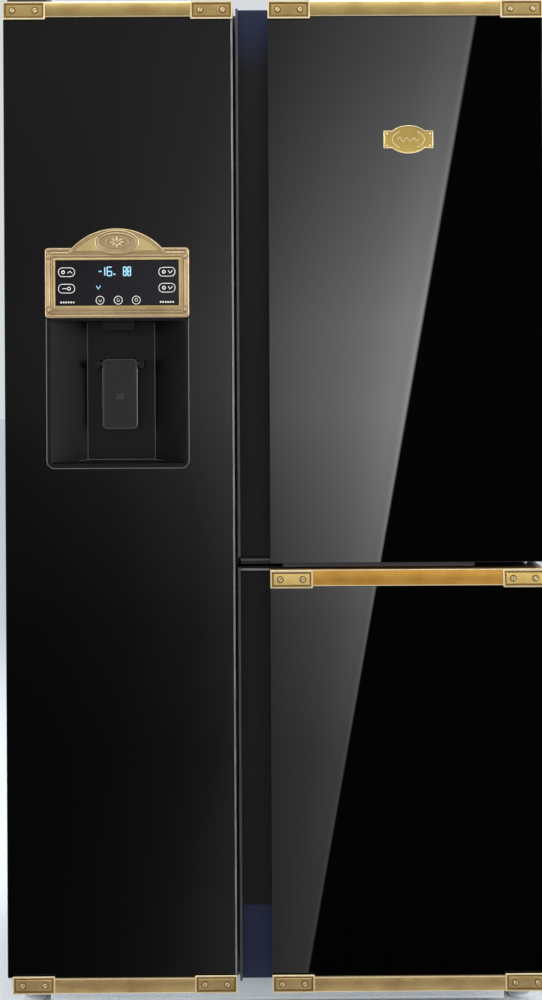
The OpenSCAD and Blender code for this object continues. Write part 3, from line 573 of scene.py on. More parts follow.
def black_coat_with_painted_reflection():
    """satin black coat with a navy painted reflection near the top and bottom ends of the doors' grip channel
    """
    made = finish("satin_black_powder_coat_painted_navy_reflection", ("#0f0e10", "#141315"), 1.1, (0.45, 0.52), bump=0.06,
                  Specular_IOR_Level=0.25)
    tree = made.node_tree
    shader = tree.nodes["Principled BSDF"]
    place = tree.nodes["Texture Coordinate"].outputs["Object"]
    place = put(tree, "ShaderNodeSeparateXYZ", Vector=place).outputs
    # painted reflection: a mask over the grip channel's faces near the door tops and bottoms, mixed to navy
    # below
    top = put(tree, "ShaderNodeMapRange", Value=place["Z"], i1=1.63, i2=1.70, i3=0.0, i4=1.0).outputs[0]
    low = put(tree, "ShaderNodeMapRange", Value=place["Z"], i1=0.196, i2=0.192, i3=0.0, i4=1.0).outputs[0]
    ends = put(tree, "ShaderNodeMath", operation="MAXIMUM", i0=top, i1=low).outputs[0]
    inside = put(tree, "ShaderNodeMath", operation="COMPARE", i0=place["X"], i1=-0.026, i2=0.04).outputs[0]
    facing = put(tree, "ShaderNodeMath", operation="COMPARE", i0=place["Y"], i1=-0.33, i2=0.025).outputs[0]
    inside = put(tree, "ShaderNodeMath", operation="MULTIPLY", i0=inside, i1=facing).outputs[0]
    ends = put(tree, "ShaderNodeMath", operation="MULTIPLY", i0=ends, i1=inside).outputs[0]
    plain = shader.inputs["Base Color"].links[0].from_socket
    tint = put(tree, "ShaderNodeMix", data_type="RGBA", i0=ends, i6=plain, i7=linear("#222947"))
    tree.links.new(tint.outputs[2], shader.inputs["Base Color"])
    return made


satin_black = black_coat_with_painted_reflection()
grey_vinyl = finish("soft_grey_vinyl_seal", ("#56575a", "#606164"), 1.8, (0.55, 0.68), bump=0.1)
dress(satin_black, "freezer_door_shell", "upper_door_shell", "lower_door_shell")
for door, x0, x1, z0, z1 in (("freezer", -422, -78, 112, 1718), ("upper", -54, 422, 797, 1718),
                             ("lower", -54, 422, 112, 777)):
    seal = piece(door + "_door_seal", door + "_door", "seal_rubber", [grey_vinyl], door + "_door_gasket")
    shape = bmesh.new()
    profile = ((4, -262), (2.6, -259.6), (4.2, -258.0), (1.0, -255.6), (2.4, -253.6), (0.2, -251.8),
               (1.4, -250.5), (6.0, -250.3), (8.0, -250.3), (12.6, -250.5), (13.8, -251.8), (11.6, -253.6),
               (13.0, -255.6), (9.8, -258.0), (11.4, -259.6), (10, -262), (4, -262))
    bands(shape, [at_y(round_rect(x0 + d, x1 - d, z0 + d, z1 - d, 12 - d * 0.7), y) for d, y in profile],
          0, False, False)
    bmesh.ops.remove_doubles(shape, verts=shape.verts, dist=1e-6)
    pour(shape, seal, 70)

# ---- Door bins ----
# Clear moulded polystyrene bins that hang on the door liners, each with a white rail snapped on its front.

dress(clear_ps, "freezer_door_bins", "upper_door_bins", "lower_door_bins")
for door, x0, x1, floors, high in (("freezer", -381, -123, (175, 420, 665, 910, 1555), 100),
                                   ("upper", -10, 379, (860, 1100, 1340, 1545), 110),
                                   ("lower", -10, 379, (175, 400, 620), 95)):
    bars(door + "_door_bin_rails", door + "_door", "liner_white", white_trim,
         [(x0 + 2, x1 - 2, -168.2, -164.9, z + high - 9, z + high + 1.5, 1.0) for z in floors])

# ---- Door glass ----
# Toughened glass, 4 mm thick, printed black behind, with ground and polished edges. The freezer door's
# pane is cut out round the dispenser.


def pane(shape, x0, x1, z0, z1, front, back, r=1.0, chamfer=0.8):
    """a plate facing the front with eased front edges"""
    slight = chamfer * 0.3
    bands(shape, [at_y(round_rect(x0, x1, z0, z1, r), back),
                  at_y(round_rect(x0, x1, z0, z1, r), front + chamfer),
                  at_y(round_rect(x0 + slight, x1 - slight, z0 + slight, z1 - slight, r), front + slight),
                  at_y(round_rect(x0 + chamfer, x1 - chamfer, z0 + chamfer, z1 - chamfer, r), front)])


black_glass = finish("black_backed_toughened_glass", ("#020202", "#030303"), 3.0, (0.002, 0.007), IOR=1.5)
GLASS_FRONT, GLASS_BACK = -362.0, -358.0
HALF = 456.0
for door, x0, x1, z0, z1 in (("upper", -9.0, HALF, 790.0, 1714.0), ("lower", -9.0, HALF, 92.0, 751.0)):
    glass = piece(door + "_door_pane", door + "_door", "door_glass", [black_glass], door + "_door_glass")
    shape = bmesh.new()
    pane(shape, x0, x1, z0, z1, GLASS_FRONT, GLASS_BACK)
    pour(shape, glass, 15)

DISPENSER_X = float(AUGER_X)
glass = piece("freezer_door_pane", "freezer_door", "door_glass", [black_glass], "freezer_door_glass")
shape = bmesh.new()
outer = round_rect(-456, -72, 92, 1714, 1.0)
hole = round_rect(-384, -146, 953, 1318.5, 12)
bands(shape, [at_y(outer, GLASS_BACK), at_y(outer, GLASS_FRONT + 0.8),
              at_y(round_rect(-455.2, -72.8, 92.8, 1713.2, 1.0), GLASS_FRONT), at_y(hole, GLASS_FRONT),
              at_y(hole, GLASS_BACK), at_y(outer, GLASS_BACK)], 0, False, False)
bmesh.ops.remove_doubles(shape, verts=shape.verts, dist=1e-6)
pour(shape, glass, 15)

# ---- Edge profiles of the doors ----
# Drawn aluminium, brush finished and clear anodised: a slim edge along the freezer door's opening side,
# a lip along each grip channel, and a cap over the lower door's channel. Moulded caps close the door ends.

anodised = finish("brushed_clear_anodised_aluminium", ("#8d8e90", "#a7a8aa"), 1.2, (0.3, 0.42), metal=1.0,
                  stretch=(1, 1, 0.03), bump=0.05)
dark_anodised = finish("dark_anodised_aluminium", ("#5c5d60", "#68696c"), 1.2, (0.35, 0.45), metal=0.9,
                       stretch=(1, 1, 0.03), bump=0.05)

bars("freezer_door_edge_profile", "freezer_door", "galvanised", anodised,
     [(-71.6, -68.4, -363.2, -357.0, 92.2, 1713.8, 0.4)])
for door, z0, z1 in (("upper", 795.2, 1737.8), ("lower", 68.2, 777.8)):
    bars(door + "_door_channel_lip", door + "_door", "galvanised", dark_anodised,
         [(-64.3, -60.2, -322.0, -309.0, z0, z1, 0.3)])
bars("lower_door_channel_cap", "lower_door", "galvanised", anodised,
     [(-60.0, 11.0, -314.0, -309.1, 771.2, 774.9, 0.3)])
bars("upper_door_channel_band", "upper_door", "galvanised", dark_anodised,
     [(-60.0, 11.0, -314.0, -309.1, 788.0, 791.6, 0.3)])
grey_cap = finish("dark_grey_abs_end_cap", ("#26252a", "#2c2b30"), 1.2, (0.45, 0.55), bump=0.06)
bars("upper_door_end_cap", "upper_door", "dark_plastic", grey_cap,
     [(12.2, 338.0, -352.0, -300.0, 782.0, 789.8, 0.4), (-60.0, 12.0, -306.0, -300.0, 781.6, 793.5, 0.4)])
pale_cap = finish("pale_grey_abs_end_cap", ("#c9ced3", "#d3d7db"), 1.2, (0.45, 0.55), bump=0.06)
cap = [(-455.9, -447.3, -358.6, -357.9, 68.0, 91.7, 0.1), (-455.95, -455.0, -358.0, -262.6, 66.4, 91.7, 0.1)]
# its bottom is open round the hinge pin
cap += [(x0, x1, y0, y1, 66.2, 66.95, 0.1) for x0, x1, y0, y1 in
        ((-455.0, -69.4, -344.6, -294.0), (-455.0, -444.0, -294.0, -262.6), (-424.0, -69.4, -294.0, -262.6))]
bars("freezer_door_end_cap", "freezer_door", "dark_plastic", pale_cap, cap)

# ---- Brass end trims ----
# Solid brass strip, 26 mm wide, brushed along its length and patinated, folded over the door ends. The
# top, middle and bottom strips are one brass, painted in lit and shaded copies.
# A pressed corner plate with a raised rim is fixed over each end by two slotted raised-head screws.


def patinated_brass(name, light, mid, dark, rough=(0.34, 0.48), streak=(0.06, 1, 1)):
    """brass with lengthways brush marks, cloudy brown patina and bright worn patches"""
    made = finish(name, (light, mid), 1.6, rough, metal=1.0, stretch=streak, bump=0.10, spread=0.5)
    tree = made.node_tree
    shader = tree.nodes["Principled BSDF"]
    place = tree.nodes["Texture Coordinate"].outputs["Object"]
    cloud = put(tree, "ShaderNodeTexNoise", Vector=place, Scale=1000 / 45, Detail=3.0).outputs["Fac"]
    cloud = put(tree, "ShaderNodeMapRange", Value=cloud, i1=0.42, i2=0.68, i3=0.0, i4=0.6).outputs[0]
    plain = shader.inputs["Base Color"].links[0].from_socket
    tint = put(tree, "ShaderNodeMix", data_type="RGBA", i0=cloud, i6=plain, i7=linear(dark))
    tree.links.new(tint.outputs[2], shader.inputs["Base Color"])
    return made


# painted light: one brass in lit and shaded copies, paler at the top trims, lighter and more golden at the
# middle trim and its plates, browner at the bottom trims
brass_top_lit_copy = patinated_brass("brass_top_trims_painted_light", "#b9a26a", "#a99058", "#967a4c")
brass_middle_lit_copy = patinated_brass("brass_middle_trims_painted_light", "#dba956", "#cd9844", "#b88338")
brass_middle_plate_lit_copy = patinated_brass("brass_middle_plates_painted_light", "#f4d78e", "#ebca7a", "#d6ae5e")
brass_bottom_shaded_copy = patinated_brass("brass_bottom_trims_painted_shade", "#c6ab78", "#b59766", "#96744e")
# lighter brass for rims, rounded edges, screw heads and the badge flourish: partly rubbed wear, partly painted
# highlight
brass_wear_and_highlight = finish("worn_brass_and_painted_highlight", ("#ecd8aa", "#f4e4bc"), 4.0, (0.34, 0.42), metal=1.0)
# darker brass: tarnish in the plate and badge grooves, and painted shade where it is the seat and slot finish
# of the brass screws
brass_tarnish_and_shade = finish("tarnished_and_painted_shade_brass", ("#6f5630", "#80643a"), 3.0, (0.5, 0.6), metal=0.9)
STRIP_FRONT = -365.5


def strip(shape, x0, x1, z0, z1, up):
    """the flat strip, its long edges rounded over and painted bright, partly wear and partly painted highlight,
    and its return over the door end
    """
    profile = ((GLASS_BACK, z0), (-363.6, z0), (-364.9, z0 + 0.5), (STRIP_FRONT, z0 + 1.8),
               (STRIP_FRONT, z1 - 2.0), (-365.0, z1 - 0.7), (-363.8, z1), (GLASS_BACK, z1))
    bands(shape, [[(x, y, z) for y, z in profile] for x in (x0, x1)])
    # the rounded edge bands take the lighter brass: wear and painted highlight
    for face in shape.faces:
        centre = face.calc_center_median() * 1000
        if -365.4 < centre.y < -364 and len(face.verts) == 4:
            face.material_index = 1
    bar(shape, x0 + 0.1, x1 - 0.1, GLASS_BACK, -345.0, z1 - 2 if up else z0, z1 if up else z0 + 2, 0.2)


def moulding(shape, outline, steps, start=False, end=True, cap=()):
    """a stepped face: steps are (inset, depth, finish); outline(inset, depth) gives each loop"""
    bands(shape, [outline(d, y) for d, y, _ in steps], [m for _, _, m in steps[1:]] + list(cap), start, end)


def corner_plate(shape, x0, z0):
    """raised rim, dark inner groove and flat field, as concentric bands"""
    x1, z1 = x0 + 71.5, z0 + 30
    steps = ((0.0, -365.4, 0), (0.0, -366.7, 1), (0.6, -367.3, 1), (2.6, -367.3, 1), (3.3, -366.5, 2),
             (5.6, -366.3, 2), (6.2, -366.9, 3), (7.0, -367.0, 3))
    moulding(shape, lambda d, y: at_y(round_rect(x0 + d, x1 - d, z0 + d, z1 - d, 1.6 - min(d, 1.0)), y), steps)


trim_sets = (
    ("freezer_door", brass_top_lit_copy, (-456, -68, 1714, 1740, True), ((-456, 1710), (-139.5, 1710))),
    ("freezer_door", brass_bottom_shaded_copy, (-447, -68, 66, 92, False), ((-447, 66), (-139.5, 66))),
    ("upper_door", brass_top_lit_copy, (-9, 456, 1714, 1740, True), ((-9, 1710), (384.5, 1710))),
    ("lower_door", brass_middle_lit_copy, (-9, 456, 751, 779.6, True), ((-9, 748), (384.5, 748))),
    ("lower_door", brass_bottom_shaded_copy, (-9, 456, 66, 92, False), ((-9, 66), (384.5, 66))),
)
for door, brass, run, plates in trim_sets:
    where = "bottom" if run[2] < 100 else "top"
    # the middle plates take the lightest copy, as painted light
    field = brass_middle_plate_lit_copy if brass is brass_middle_lit_copy else brass
    trim = piece(door + "_" + where + "_trim", door, "antique_brass", [brass, brass_wear_and_highlight, brass_tarnish_and_shade, field],
                 *([door + "_trims"] if where == "top" else []))
    shape = bmesh.new()
    strip(shape, *run)
    for x0, z0 in plates:
        corner_plate(shape, x0, z0)
    pour(shape, trim)
    spots = [(x0 + 35.75 + side * 19, -367.6, z0 + 15, 40 - side * 12 + 23 * i)
             for i, (x0, z0) in enumerate(plates) for side in (-1, 1)]
    screws(door + "_" + where + "_screws", door, spots, 5.75, 1.7, brass_wear_and_highlight, brass_tarnish_and_shade)

# ---- Dispenser frame ----
# Cast brass frame with stepped mouldings, an arched top and an oval medallion, patinated, its high edges
# rubbed bright and painted lighter as painted highlight, with a hint of copper. Four small slotted screws hold
# it.

brass_cast = patinated_brass("cast_patinated_brass", "#b5a27c", "#a68f6c", "#8d7254", (0.42, 0.52), (1, 1, 1))
# lighter brass on the ridges and the rosette: partly rubbed wear, partly painted highlight
brass_edge_wear_and_highlight = finish("rubbed_cast_brass_painted_highlight", ("#c6b38e", "#cfbc97"), 4.0, (0.36, 0.44), metal=1.0)
brass_copper = finish("rubbed_coppery_brass", ("#b3937a", "#bd9f86"), 5.0, (0.42, 0.5), metal=1.0)
cast_groove = finish("toned_cast_groove", ("#806a4c", "#927a58"), 3.0, (0.45, 0.55), metal=1.0)
brass_field = patinated_brass("cast_brass_flat_field", "#d6c18c", "#c8b27c", "#b3995f", (0.4, 0.5), (1, 1, 1))
frame_piece = piece("dispenser_frame", "freezer_door", "antique_brass",
                    [brass_cast, brass_edge_wear_and_highlight, cast_groove, brass_copper, brass_field], "dispenser_bezel")
shape = bmesh.new()
FX0, FX1, FZ0, FZ1 = -386.5, -143.5, 1206.0, 1324.5
steps = ((0, -362.0, 3), (0, -366.8, 3), (1.0, -367.9, 1), (3.0, -368.3, 3), (5.2, -367.6, 0), (6.4, -366.4, 2),
         (7.6, -366.6, 0), (9.0, -367.6, 0), (10.6, -367.6, 0), (11.4, -366.6, 2), (12.4, -366.7, 0),
         (13.6, -367.2, 0), (15.0, -367.1, 0), (16.2, -366.4, 2), (17.2, -366.4, 0), (18.4, -366.8, 4),
         (20.5, -366.7, 4), (20.9, -364.4, 2))


def frame_loop(d, y):
    """the frame narrows from 17.5 to 20.9 mm wide round its window, so the offset differs by side"""
    side = d * 17.6 / 20.9
    return at_y(round_rect(FX0 + side, FX1 - side, FZ0 + d, FZ1 - d, max(5.5 - d * 0.25, 0.6)), y)


moulding(shape, frame_loop, steps, end=False)
ARCH_R, ARCH_Z = 104.3, 1252.8


def arch_loop(d, y):
    """the arch outline moved in by d"""
    r = ARCH_R - d
    low = FZ1 - 7.5 + d * 0.3
    a = math.acos(min((low - ARCH_Z) / r, 1))
    return at_y([(DISPENSER_X + r * math.sin(a - 2 * a * i / 40), ARCH_Z + r * math.cos(a - 2 * a * i / 40))
                 for i in range(41)], y)


arch_steps = ((0, -362.0, 3), (0, -368.0, 3), (0.9, -368.9, 1), (2.7, -369.1, 4), (3.7, -368.5, 2),
              (4.6, -368.5, 0), (5.6, -368.9, 1), (6.6, -368.5, 2), (7.4, -368.5, 0))
moulding(shape, arch_loop, arch_steps, cap=[4])


def oval(cx, cz, w, h, y, count=48):
    return [(cx + w / 2 * math.cos(2 * math.pi * i / count), y, cz + h / 2 * math.sin(2 * math.pi * i / count))
            for i in range(count)]


MED_Z = 1333.5
medal_steps = ((0, -366.0, 0), (0, -369.0, 1), (0.9, -369.6, 1), (2.6, -369.6, 0), (3.4, -368.9, 2),
               (4.4, -368.9, 0), (5.2, -369.4, 1), (6.4, -369.3, 0), (7.2, -368.8, 2), (8.2, -368.8, 0))
moulding(shape, lambda d, y: oval(DISPENSER_X, MED_Z, 74 - 2 * d, 41 - 2 * d, y), medal_steps)
pour(shape, frame_piece, 50)

# The medallion's relief is a plain rosette of petals and pearls, cast with the frame.
rosette = piece("dispenser_rosette", "freezer_door", "antique_brass", [brass_edge_wear_and_highlight, brass_cast])
shape = bmesh.new()


def dome(shape, x, z, y, r, height, turn=0.0, long=1.0, finish_index=0, count=12):
    """a low cast bead or petal, standing forward from depth y"""
    c, s = math.cos(turn), math.sin(turn)
    loops = []
    for k in (1.0, 0.86, 0.6, 0.3):
        ring = []
        for i in range(count):
            a = 2 * math.pi * i / count
            u, v = r * k * math.cos(a) * long, r * k * math.sin(a)
            ring.append((x + u * c - v * s, y - height * (1 - k * k) ** 0.5, z + u * s + v * c))
        loops.append(ring)
    bands(shape, loops, finish_index)


for sx in (-1, 1):
    for z in (1220.5, 1310.5):
        bands(shape, [oval(DISPENSER_X + sx * 115, z, 2 * r, 2 * r, y) for r, y in
                      ((6.4, -366.4), (6.2, -367.6), (5.2, -368.1))], 1, False, True)
for i in range(8):
    a = math.pi * 2 * i / 8
    dome(shape, DISPENSER_X + 8.2 * math.cos(a), MED_Z + 5.6 * math.sin(a), -368.7, 1.9, 1.0,
         math.atan2(5.6 * math.sin(a), 8.2 * math.cos(a)), 1.9)
dome(shape, DISPENSER_X, MED_Z, -368.7, 3.0, 1.1, finish_index=1)
for i in range(20):
    a = math.pi * 2 * i / 20
    dome(shape, DISPENSER_X + 19.5 * math.cos(a), MED_Z + 9.2 * math.sin(a), -368.7, 1.0, 0.7)
pour(shape, rosette, 60)
screws("dispenser_frame_screws", "freezer_door",
       [(DISPENSER_X + sx * 115, -368.0, z, 35 + 50 * sx) for sx in (-1, 1) for z in (1220.5, 1310.5)],
       4.6, 0.9, brass_wear_and_highlight, brass_tarnish_and_shade)

# ---- Dispenser display ----
# A tinted acrylic window over a light-emitting display. The touch marks are screen printed on its back in
# cream ink, and the digits and the small pointer light up pale blue.

tinted_acrylic = finish("tinted_acrylic_window", ("#0a0910", "#0c0b13"), 30.0, (0.04, 0.06), IOR=1.49)
cream_ink = finish("cream_screen_ink", ("#dcd6cc", "#e6e0d6"), 2.0, (0.4, 0.5))
blue_glow = finish("pale_blue_segment_light", ("#203040", "#283848"), 2.0, (0.4, 0.5), Emission_Strength=1.0,
                   Emission_Color=linear("#a8e6ff"))
WINDOW_Y = -364.6
window = piece("dispenser_window", "freezer_door", "display", [tinted_acrylic, black_abs], "dispenser_display")
shape = bmesh.new()
pane(shape, -368.7, -161.3, 1227.3, 1302.2, WINDOW_Y, -362.0, 4.0, 0.3)
for face in shape.faces:
    face.material_index = 0
bar(shape, -378, -152, -362.0, -358.0, 1208, 1314.5, 0.3, 1)
bar(shape, -375, -155, -358.0, -337.0, 1209, 1314.5, 0.5, 1)
pour(shape, window, 15)

PRINT_Y = WINDOW_Y - 0.02


def sideways(points, closed):
    """each point (x, z) with the unit direction square to the line there"""
    n = len(points)
    for i, (x, z) in enumerate(points):
        before = points[i - 1] if closed or i else points[i]
        after = points[(i + 1) % n] if closed or i < n - 1 else points[i]
        dx, dz = after[0] - before[0], after[1] - before[1]
        length = math.hypot(dx, dz) or 1
        yield x, z, -dz / length, dx / length


def ribbon(shape, points, width, y=PRINT_Y, closed=True, finish_index=0):
    """a printed line of even width along points (x, z)"""
    n = len(points)
    sides = []
    for x, z, nx, nz in sideways(points, closed):
        nx, nz = nx * width / 2, nz * width / 2
        sides.append([shape.verts.new(Vector(p) * MM) for p in (
            (x + nx, y, z + nz), (x - nx, y, z - nz), (x - nx, y - 0.06, z - nz), (x + nx, y - 0.06, z + nz))])
    for i in range(n if closed else n - 1):
        a, b = sides[i], sides[(i + 1) % n]
        for j in range(4):
            shape.faces.new((a[j], a[(j + 1) % 4], b[(j + 1) % 4], b[j])).material_index = finish_index
    if not closed:
        for end in (sides[0], sides[-1][::-1]):
            shape.faces.new(end).material_index = finish_index


def circle(cx, cz, r, count=20, start=0.0, sweep=360.0):
    return [(cx + r * math.cos(math.radians(start + sweep * i / count)),
             cz + r * math.sin(math.radians(start + sweep * i / count)))
            for i in range(count if sweep == 360 else count + 1)]


def printed(px, pz):
    """a place on the display from its share of the window's width and height"""
    return -368.7 + 207.4 * px, 1302.2 - 74.9 * pz


marks = piece("dispenser_touch_marks", "freezer_door", "display", [cream_ink])
shape = bmesh.new()
for px, pz in ((0.088, 0.25), (0.088, 0.62), (0.905, 0.25), (0.905, 0.61)):
    x, z = printed(px, pz)
    ribbon(shape, round_rect(x - 13.6, x + 13.6, z - 7.4, z + 7.4, 6.6), 1.0)
for px in (0.36, 0.508, 0.655):
    x, z = printed(px, 0.885)
    ribbon(shape, circle(x, z, 6.8), 1.0)
for px, pz in ((0.06, 0.25), (0.88, 0.25), (0.88, 0.61)):
    x, z = printed(px, pz)
    ribbon(shape, circle(x, z, 2.4, 12), 1.5)
x, z = printed(0.088, 0.62)
ribbon(shape, circle(x + 4, z, 2.6, 12), 1.1)
ribbon(shape, [(x - 7, z), (x + 1.4, z)], 1.2, closed=False)
x, z = printed(0.115, 0.25)
ribbon(shape, [(x - 4, z - 2), (x, z + 2), (x + 4, z - 2)], 1.1, closed=False)
for pz in (0.25, 0.61):
    x, z = printed(0.93, pz)
    ribbon(shape, [(x - 3, z + 2.4), (x, z - 2.4), (x + 4, z + 2.4)], 1.4, closed=False)
for px, kind in ((0.36, 0), (0.508, 1), (0.655, 2)):
    x, z = printed(px, 0.885)
    ribbon(shape, [(x - 2.4, z + 1.2), (x - 1, z - 2), (x + 1.5, z - 2), (x + 2.4, z + 1.2)], 0.9, closed=False)
    if kind:
        ribbon(shape, [(x - 2, z + 2.6), (x + 2 * kind - 2, z + 2.9)], 0.9, closed=False)
for side, px in ((-1, 0.095), (1, 0.905)):
    x, z = printed(px, 0.93)
    for i in range(6):
        ribbon(shape, [(x - 12 + 4.2 * i, z), (x - 9.4 + 4.2 * i, z)], 2.6, closed=False)
pour(shape, marks)

digits = piece("dispenser_digits", "freezer_door", "display", [blue_glow])
shape = bmesh.new()
SEGMENTS = {"a": ((-1, 2), (1, 2)), "b": ((1, 2), (1, 0)), "c": ((1, 0), (1, -2)), "d": ((-1, -2), (1, -2)),
            "e": ((-1, 0), (-1, -2)), "f": ((-1, 2), (-1, 0)), "g": ((-1, 0), (1, 0))}


def digit(x, z, lit, w=5.2, h=4.1, thick=2.5):
    for name in lit:
        (x0, z0), (x1, z1) = SEGMENTS[name]
        ribbon(shape, [(x + x0 * w / 2, z + z0 * h / 2), (x + x1 * w / 2, z + z1 * h / 2)], thick, closed=False)


x, z = printed(0.362, 0.235)
ribbon(shape, [(x - 2.4, z), (x + 2.4, z)], 2.0, closed=False)
digit(*printed(0.397, 0.235), "bc", 1.0, 7.0, 2.0)
digit(*printed(0.437, 0.235), "acdefg", 7.4, 7.2, 2.0)
x, z = printed(0.478, 0.30)
ribbon(shape, [(x - 1.6, z), (x + 1.6, z)], 2.8, closed=False)
for px in (0.563, 0.598):
    digit(*printed(px, 0.235), "abcdefg", 4.6, 7.2, 2.0)
x, z = printed(0.348, 0.60)
ribbon(shape, [(x - 3.6, z + 3), (x - 0.5, z - 2.6), (x + 3.2, z + 3)], 1.7, closed=False)
pour(shape, digits)

# ---- Dispenser recess ----
# One black ABS moulding with splayed cheeks, a raised floor edge and a rim line; the rim line and the thin
# lines along its corners are drawn lighter as painted highlight. The nozzle hangs from its ceiling, and the
# paddle swings on two ears in front of the back wall.

recess_black = finish("moulded_gloss_black_abs", ("#030203", "#050405"), 2.5, (0.34, 0.42), bump=0.04,
                      Specular_IOR_Level=0.25)
# lighter grey for the recess's rim, its corner lines and the paddle's raised rim, as painted highlight; the
# paddle's icon is drawn in it too
edge_highlight_and_icon_grey = finish("moulded_edge_painted_highlight_and_icon_grey", ("#3f3e40", "#4b4a4c"), 3.0, (0.3, 0.4))
dress(recess_black, "dispenser_housing")
paddle_black = finish("satin_black_abs_paddle", ("#080709", "#0b0a0c"), 1.2, (0.5, 0.6), bump=0.05,
                      Specular_IOR_Level=0.35)
rim = piece("dispenser_recess_rim", "freezer_door", "dark_plastic", [edge_highlight_and_icon_grey])
shape = bmesh.new()


def bead(outline, y, r, sides=8):
    """a thin round bead that follows an open line of points (x, z) at depth y"""
    around = [(r * math.cos(a), r * math.sin(a)) for a in (2 * math.pi * k / sides for k in range(sides))]
    bands(shape, [[(x + nx * c, y + s, z + nz * c) for c, s in around]
                  for x, z, nx, nz in sideways(outline, False)])


u_shape = [(-385.0, 1205.0), (-385.0, 966.0)]
arc = [(13 * math.cos(math.radians(9 * i)), 13 * math.sin(math.radians(9 * i))) for i in range(11)]
u_shape += [(-372 - c, 965 - s) for c, s in arc]
u_shape += [(-158 + s, 965 - c) for c, s in arc]
u_shape += [(-145.0, 966.0), (-145.0, 1205.0)]
bead(u_shape, -363.4, 0.9)
for side in (-1, 1):
    x = DISPENSER_X + side * 58.2
    bar(shape, x - 0.7, x + 0.7, -303.6, -302.4, 961.5, 1199.5, 0.2)
bar(shape, DISPENSER_X - 58, DISPENSER_X + 58, -304.2, -302.4, 962.4, 964.2, 0.2)
for side in (-1, 1):
    bands(shape, [[(DISPENSER_X + side * w + dx, y, z + dz) for dx, dz in
                   ((-0.6, -0.6), (0.6, -0.6), (0.6, 0.6), (-0.6, 0.6))]
                  for w, y, z in ((112.5, -361.0, 957.0), (59, -304.5, 963.2))])
pour(shape, rim)

paddle = piece("dispenser_paddle_plate", "paddle", "dark_plastic", [paddle_black, edge_highlight_and_icon_grey],
               "dispenser_paddle")
shape = bmesh.new()
PX0, PX1, PZ0, PZ1 = DISPENSER_X - 30, DISPENSER_X + 30, 1017.0, 1136.0
# the paddle's raised rim takes the lighter grey: painted highlight
paddle_steps = ((0.8, -322.0, 0), (0, -322.8, 0), (0, -325.3, 1), (0.9, -325.9, 1), (2.0, -325.6, 0),
                (3.2, -324.8, 0))
moulding(shape, lambda d, y: at_y(round_rect(PX0 + d, PX1 - d, PZ0 + d, PZ1 - d, 8 - d), y), paddle_steps, True)
ribbon(shape, circle(DISPENSER_X, 1078, 5, 12, 180, 180), 1.0, -324.8, False, 1)
ribbon(shape, [(DISPENSER_X - 7, 1070), (DISPENSER_X + 7, 1070)], 1.0, -324.8, False, 1)
for x0, x1 in ((DISPENSER_X - 41, PX0), (PX1, DISPENSER_X + 41)):
    bands(shape, [[(x, -324 + 4 * math.cos(2 * math.pi * k / 20), 1128 + 4 * math.sin(2 * math.pi * k / 20))
                   for k in range(20)] for x in (x0, x1)])
pour(shape, paddle, 20)

grille = piece("drip_tray_grille", "drip_tray", "dark_plastic", [recess_black, edge_highlight_and_icon_grey], "drip_grille")
shape = bmesh.new()


def splay(d, z):
    """the grille's outline, wider in front, moved in by d"""
    return [(DISPENSER_X + sx * (w - d), y, z) for sx, w, y in
            ((-1, 108, -359.5 + d), (1, 108, -359.5 + d), (1, 60, -306.5 - d), (-1, 60, -306.5 - d))]


bands(shape, [splay(6, 960.3), splay(0.3, 960.3), splay(0, 961.4), splay(0.8, 962.0), splay(5.2, 962.0),
              splay(6, 961.6), splay(6, 960.3)], 0, False, False)
bmesh.ops.remove_doubles(shape, verts=shape.verts, dist=1e-6)
for i in range(17):
    x = DISPENSER_X - 96 + 12 * i
    depth = min(1.0, (102.2 - abs(x - DISPENSER_X)) / 46) * 46
    bar(shape, x - 2.6, x + 2.6, -353.6, -353.6 + max(depth - 5, 4), 960.4, 961.7, 0.2)
pour(shape, grille)

# ---- Door badge ----
# A small cast brass plate, oval with square end tabs, a raised rim and four pin heads. Its field carries
# a plain flourish instead of a name.

brass_badge = patinated_brass("patinated_brass_badge", "#c2a962", "#b59a55", "#a08548", (0.4, 0.5), (1, 1, 1))
badge = piece("upper_door_badge_plate", "upper_door", "antique_brass", [brass_badge, brass_wear_and_highlight, brass_tarnish_and_shade],
              "upper_door_badge")
shape = bmesh.new()
BX, BZ = 228.0, 1505.0


def badge_loop(d, y):
    """the oval and its tabs as one outline, moved in by d"""
    points = []
    tab_x, tab_z, w, h = 42 - d, 15 - d, 35 - d, 24 - d
    corner = math.asin(min(tab_z / h, 1))
    for sx, a0, a1 in ((1, corner, math.pi - corner), (-1, math.pi + corner, 2 * math.pi - corner)):
        points += [(BX + w * math.cos(a0 + (a1 - a0) * i / 24), BZ + h * math.sin(a0 + (a1 - a0) * i / 24))
                   for i in range(25)]
        points += [(BX - sx * tab_x, BZ + sx * tab_z * k) for k in (1, 0.5, 0, -0.5, -1)]
    return at_y(points, y)


badge_steps = ((0, -362.0, 0), (0, -364.4, 1), (0.5, -364.9, 1), (1.6, -364.9, 1), (2.2, -364.2, 2),
               (3.2, -364.1, 0))
moulding(shape, badge_loop, badge_steps)
for turn in (-58, 122):
    arc = [math.radians(turn + 116 * i / 24) for i in range(25)]
    ribbon(shape, [(BX + 27.2 * math.cos(a), BZ + 15.6 * math.sin(a)) for a in arc], 1.3, -364.4, False, 1)
ribbon(shape, [(BX - 18 + 36 * i / 40, BZ + 4.5 * math.sin(i / 40 * 6 * math.pi) * (1 - i / 60))
               for i in range(41)], 1.2, -364.3, False, 1)
for sx in (-1, 1):
    for sz in (-1, 1):
        dome(shape, BX + sx * 36.5, BZ + sz * 10, -364.1, 1.7, 0.9, finish_index=1)
pour(shape, badge, 50)

# ---- Studio: floor, room, lights and camera ----
# A pale floor in a pale room, under soft lights. The room that the glass mirrors is a dark studio with one
# grey screen whose edge runs slantwise, which gives the slanted sheen on polished fronts.

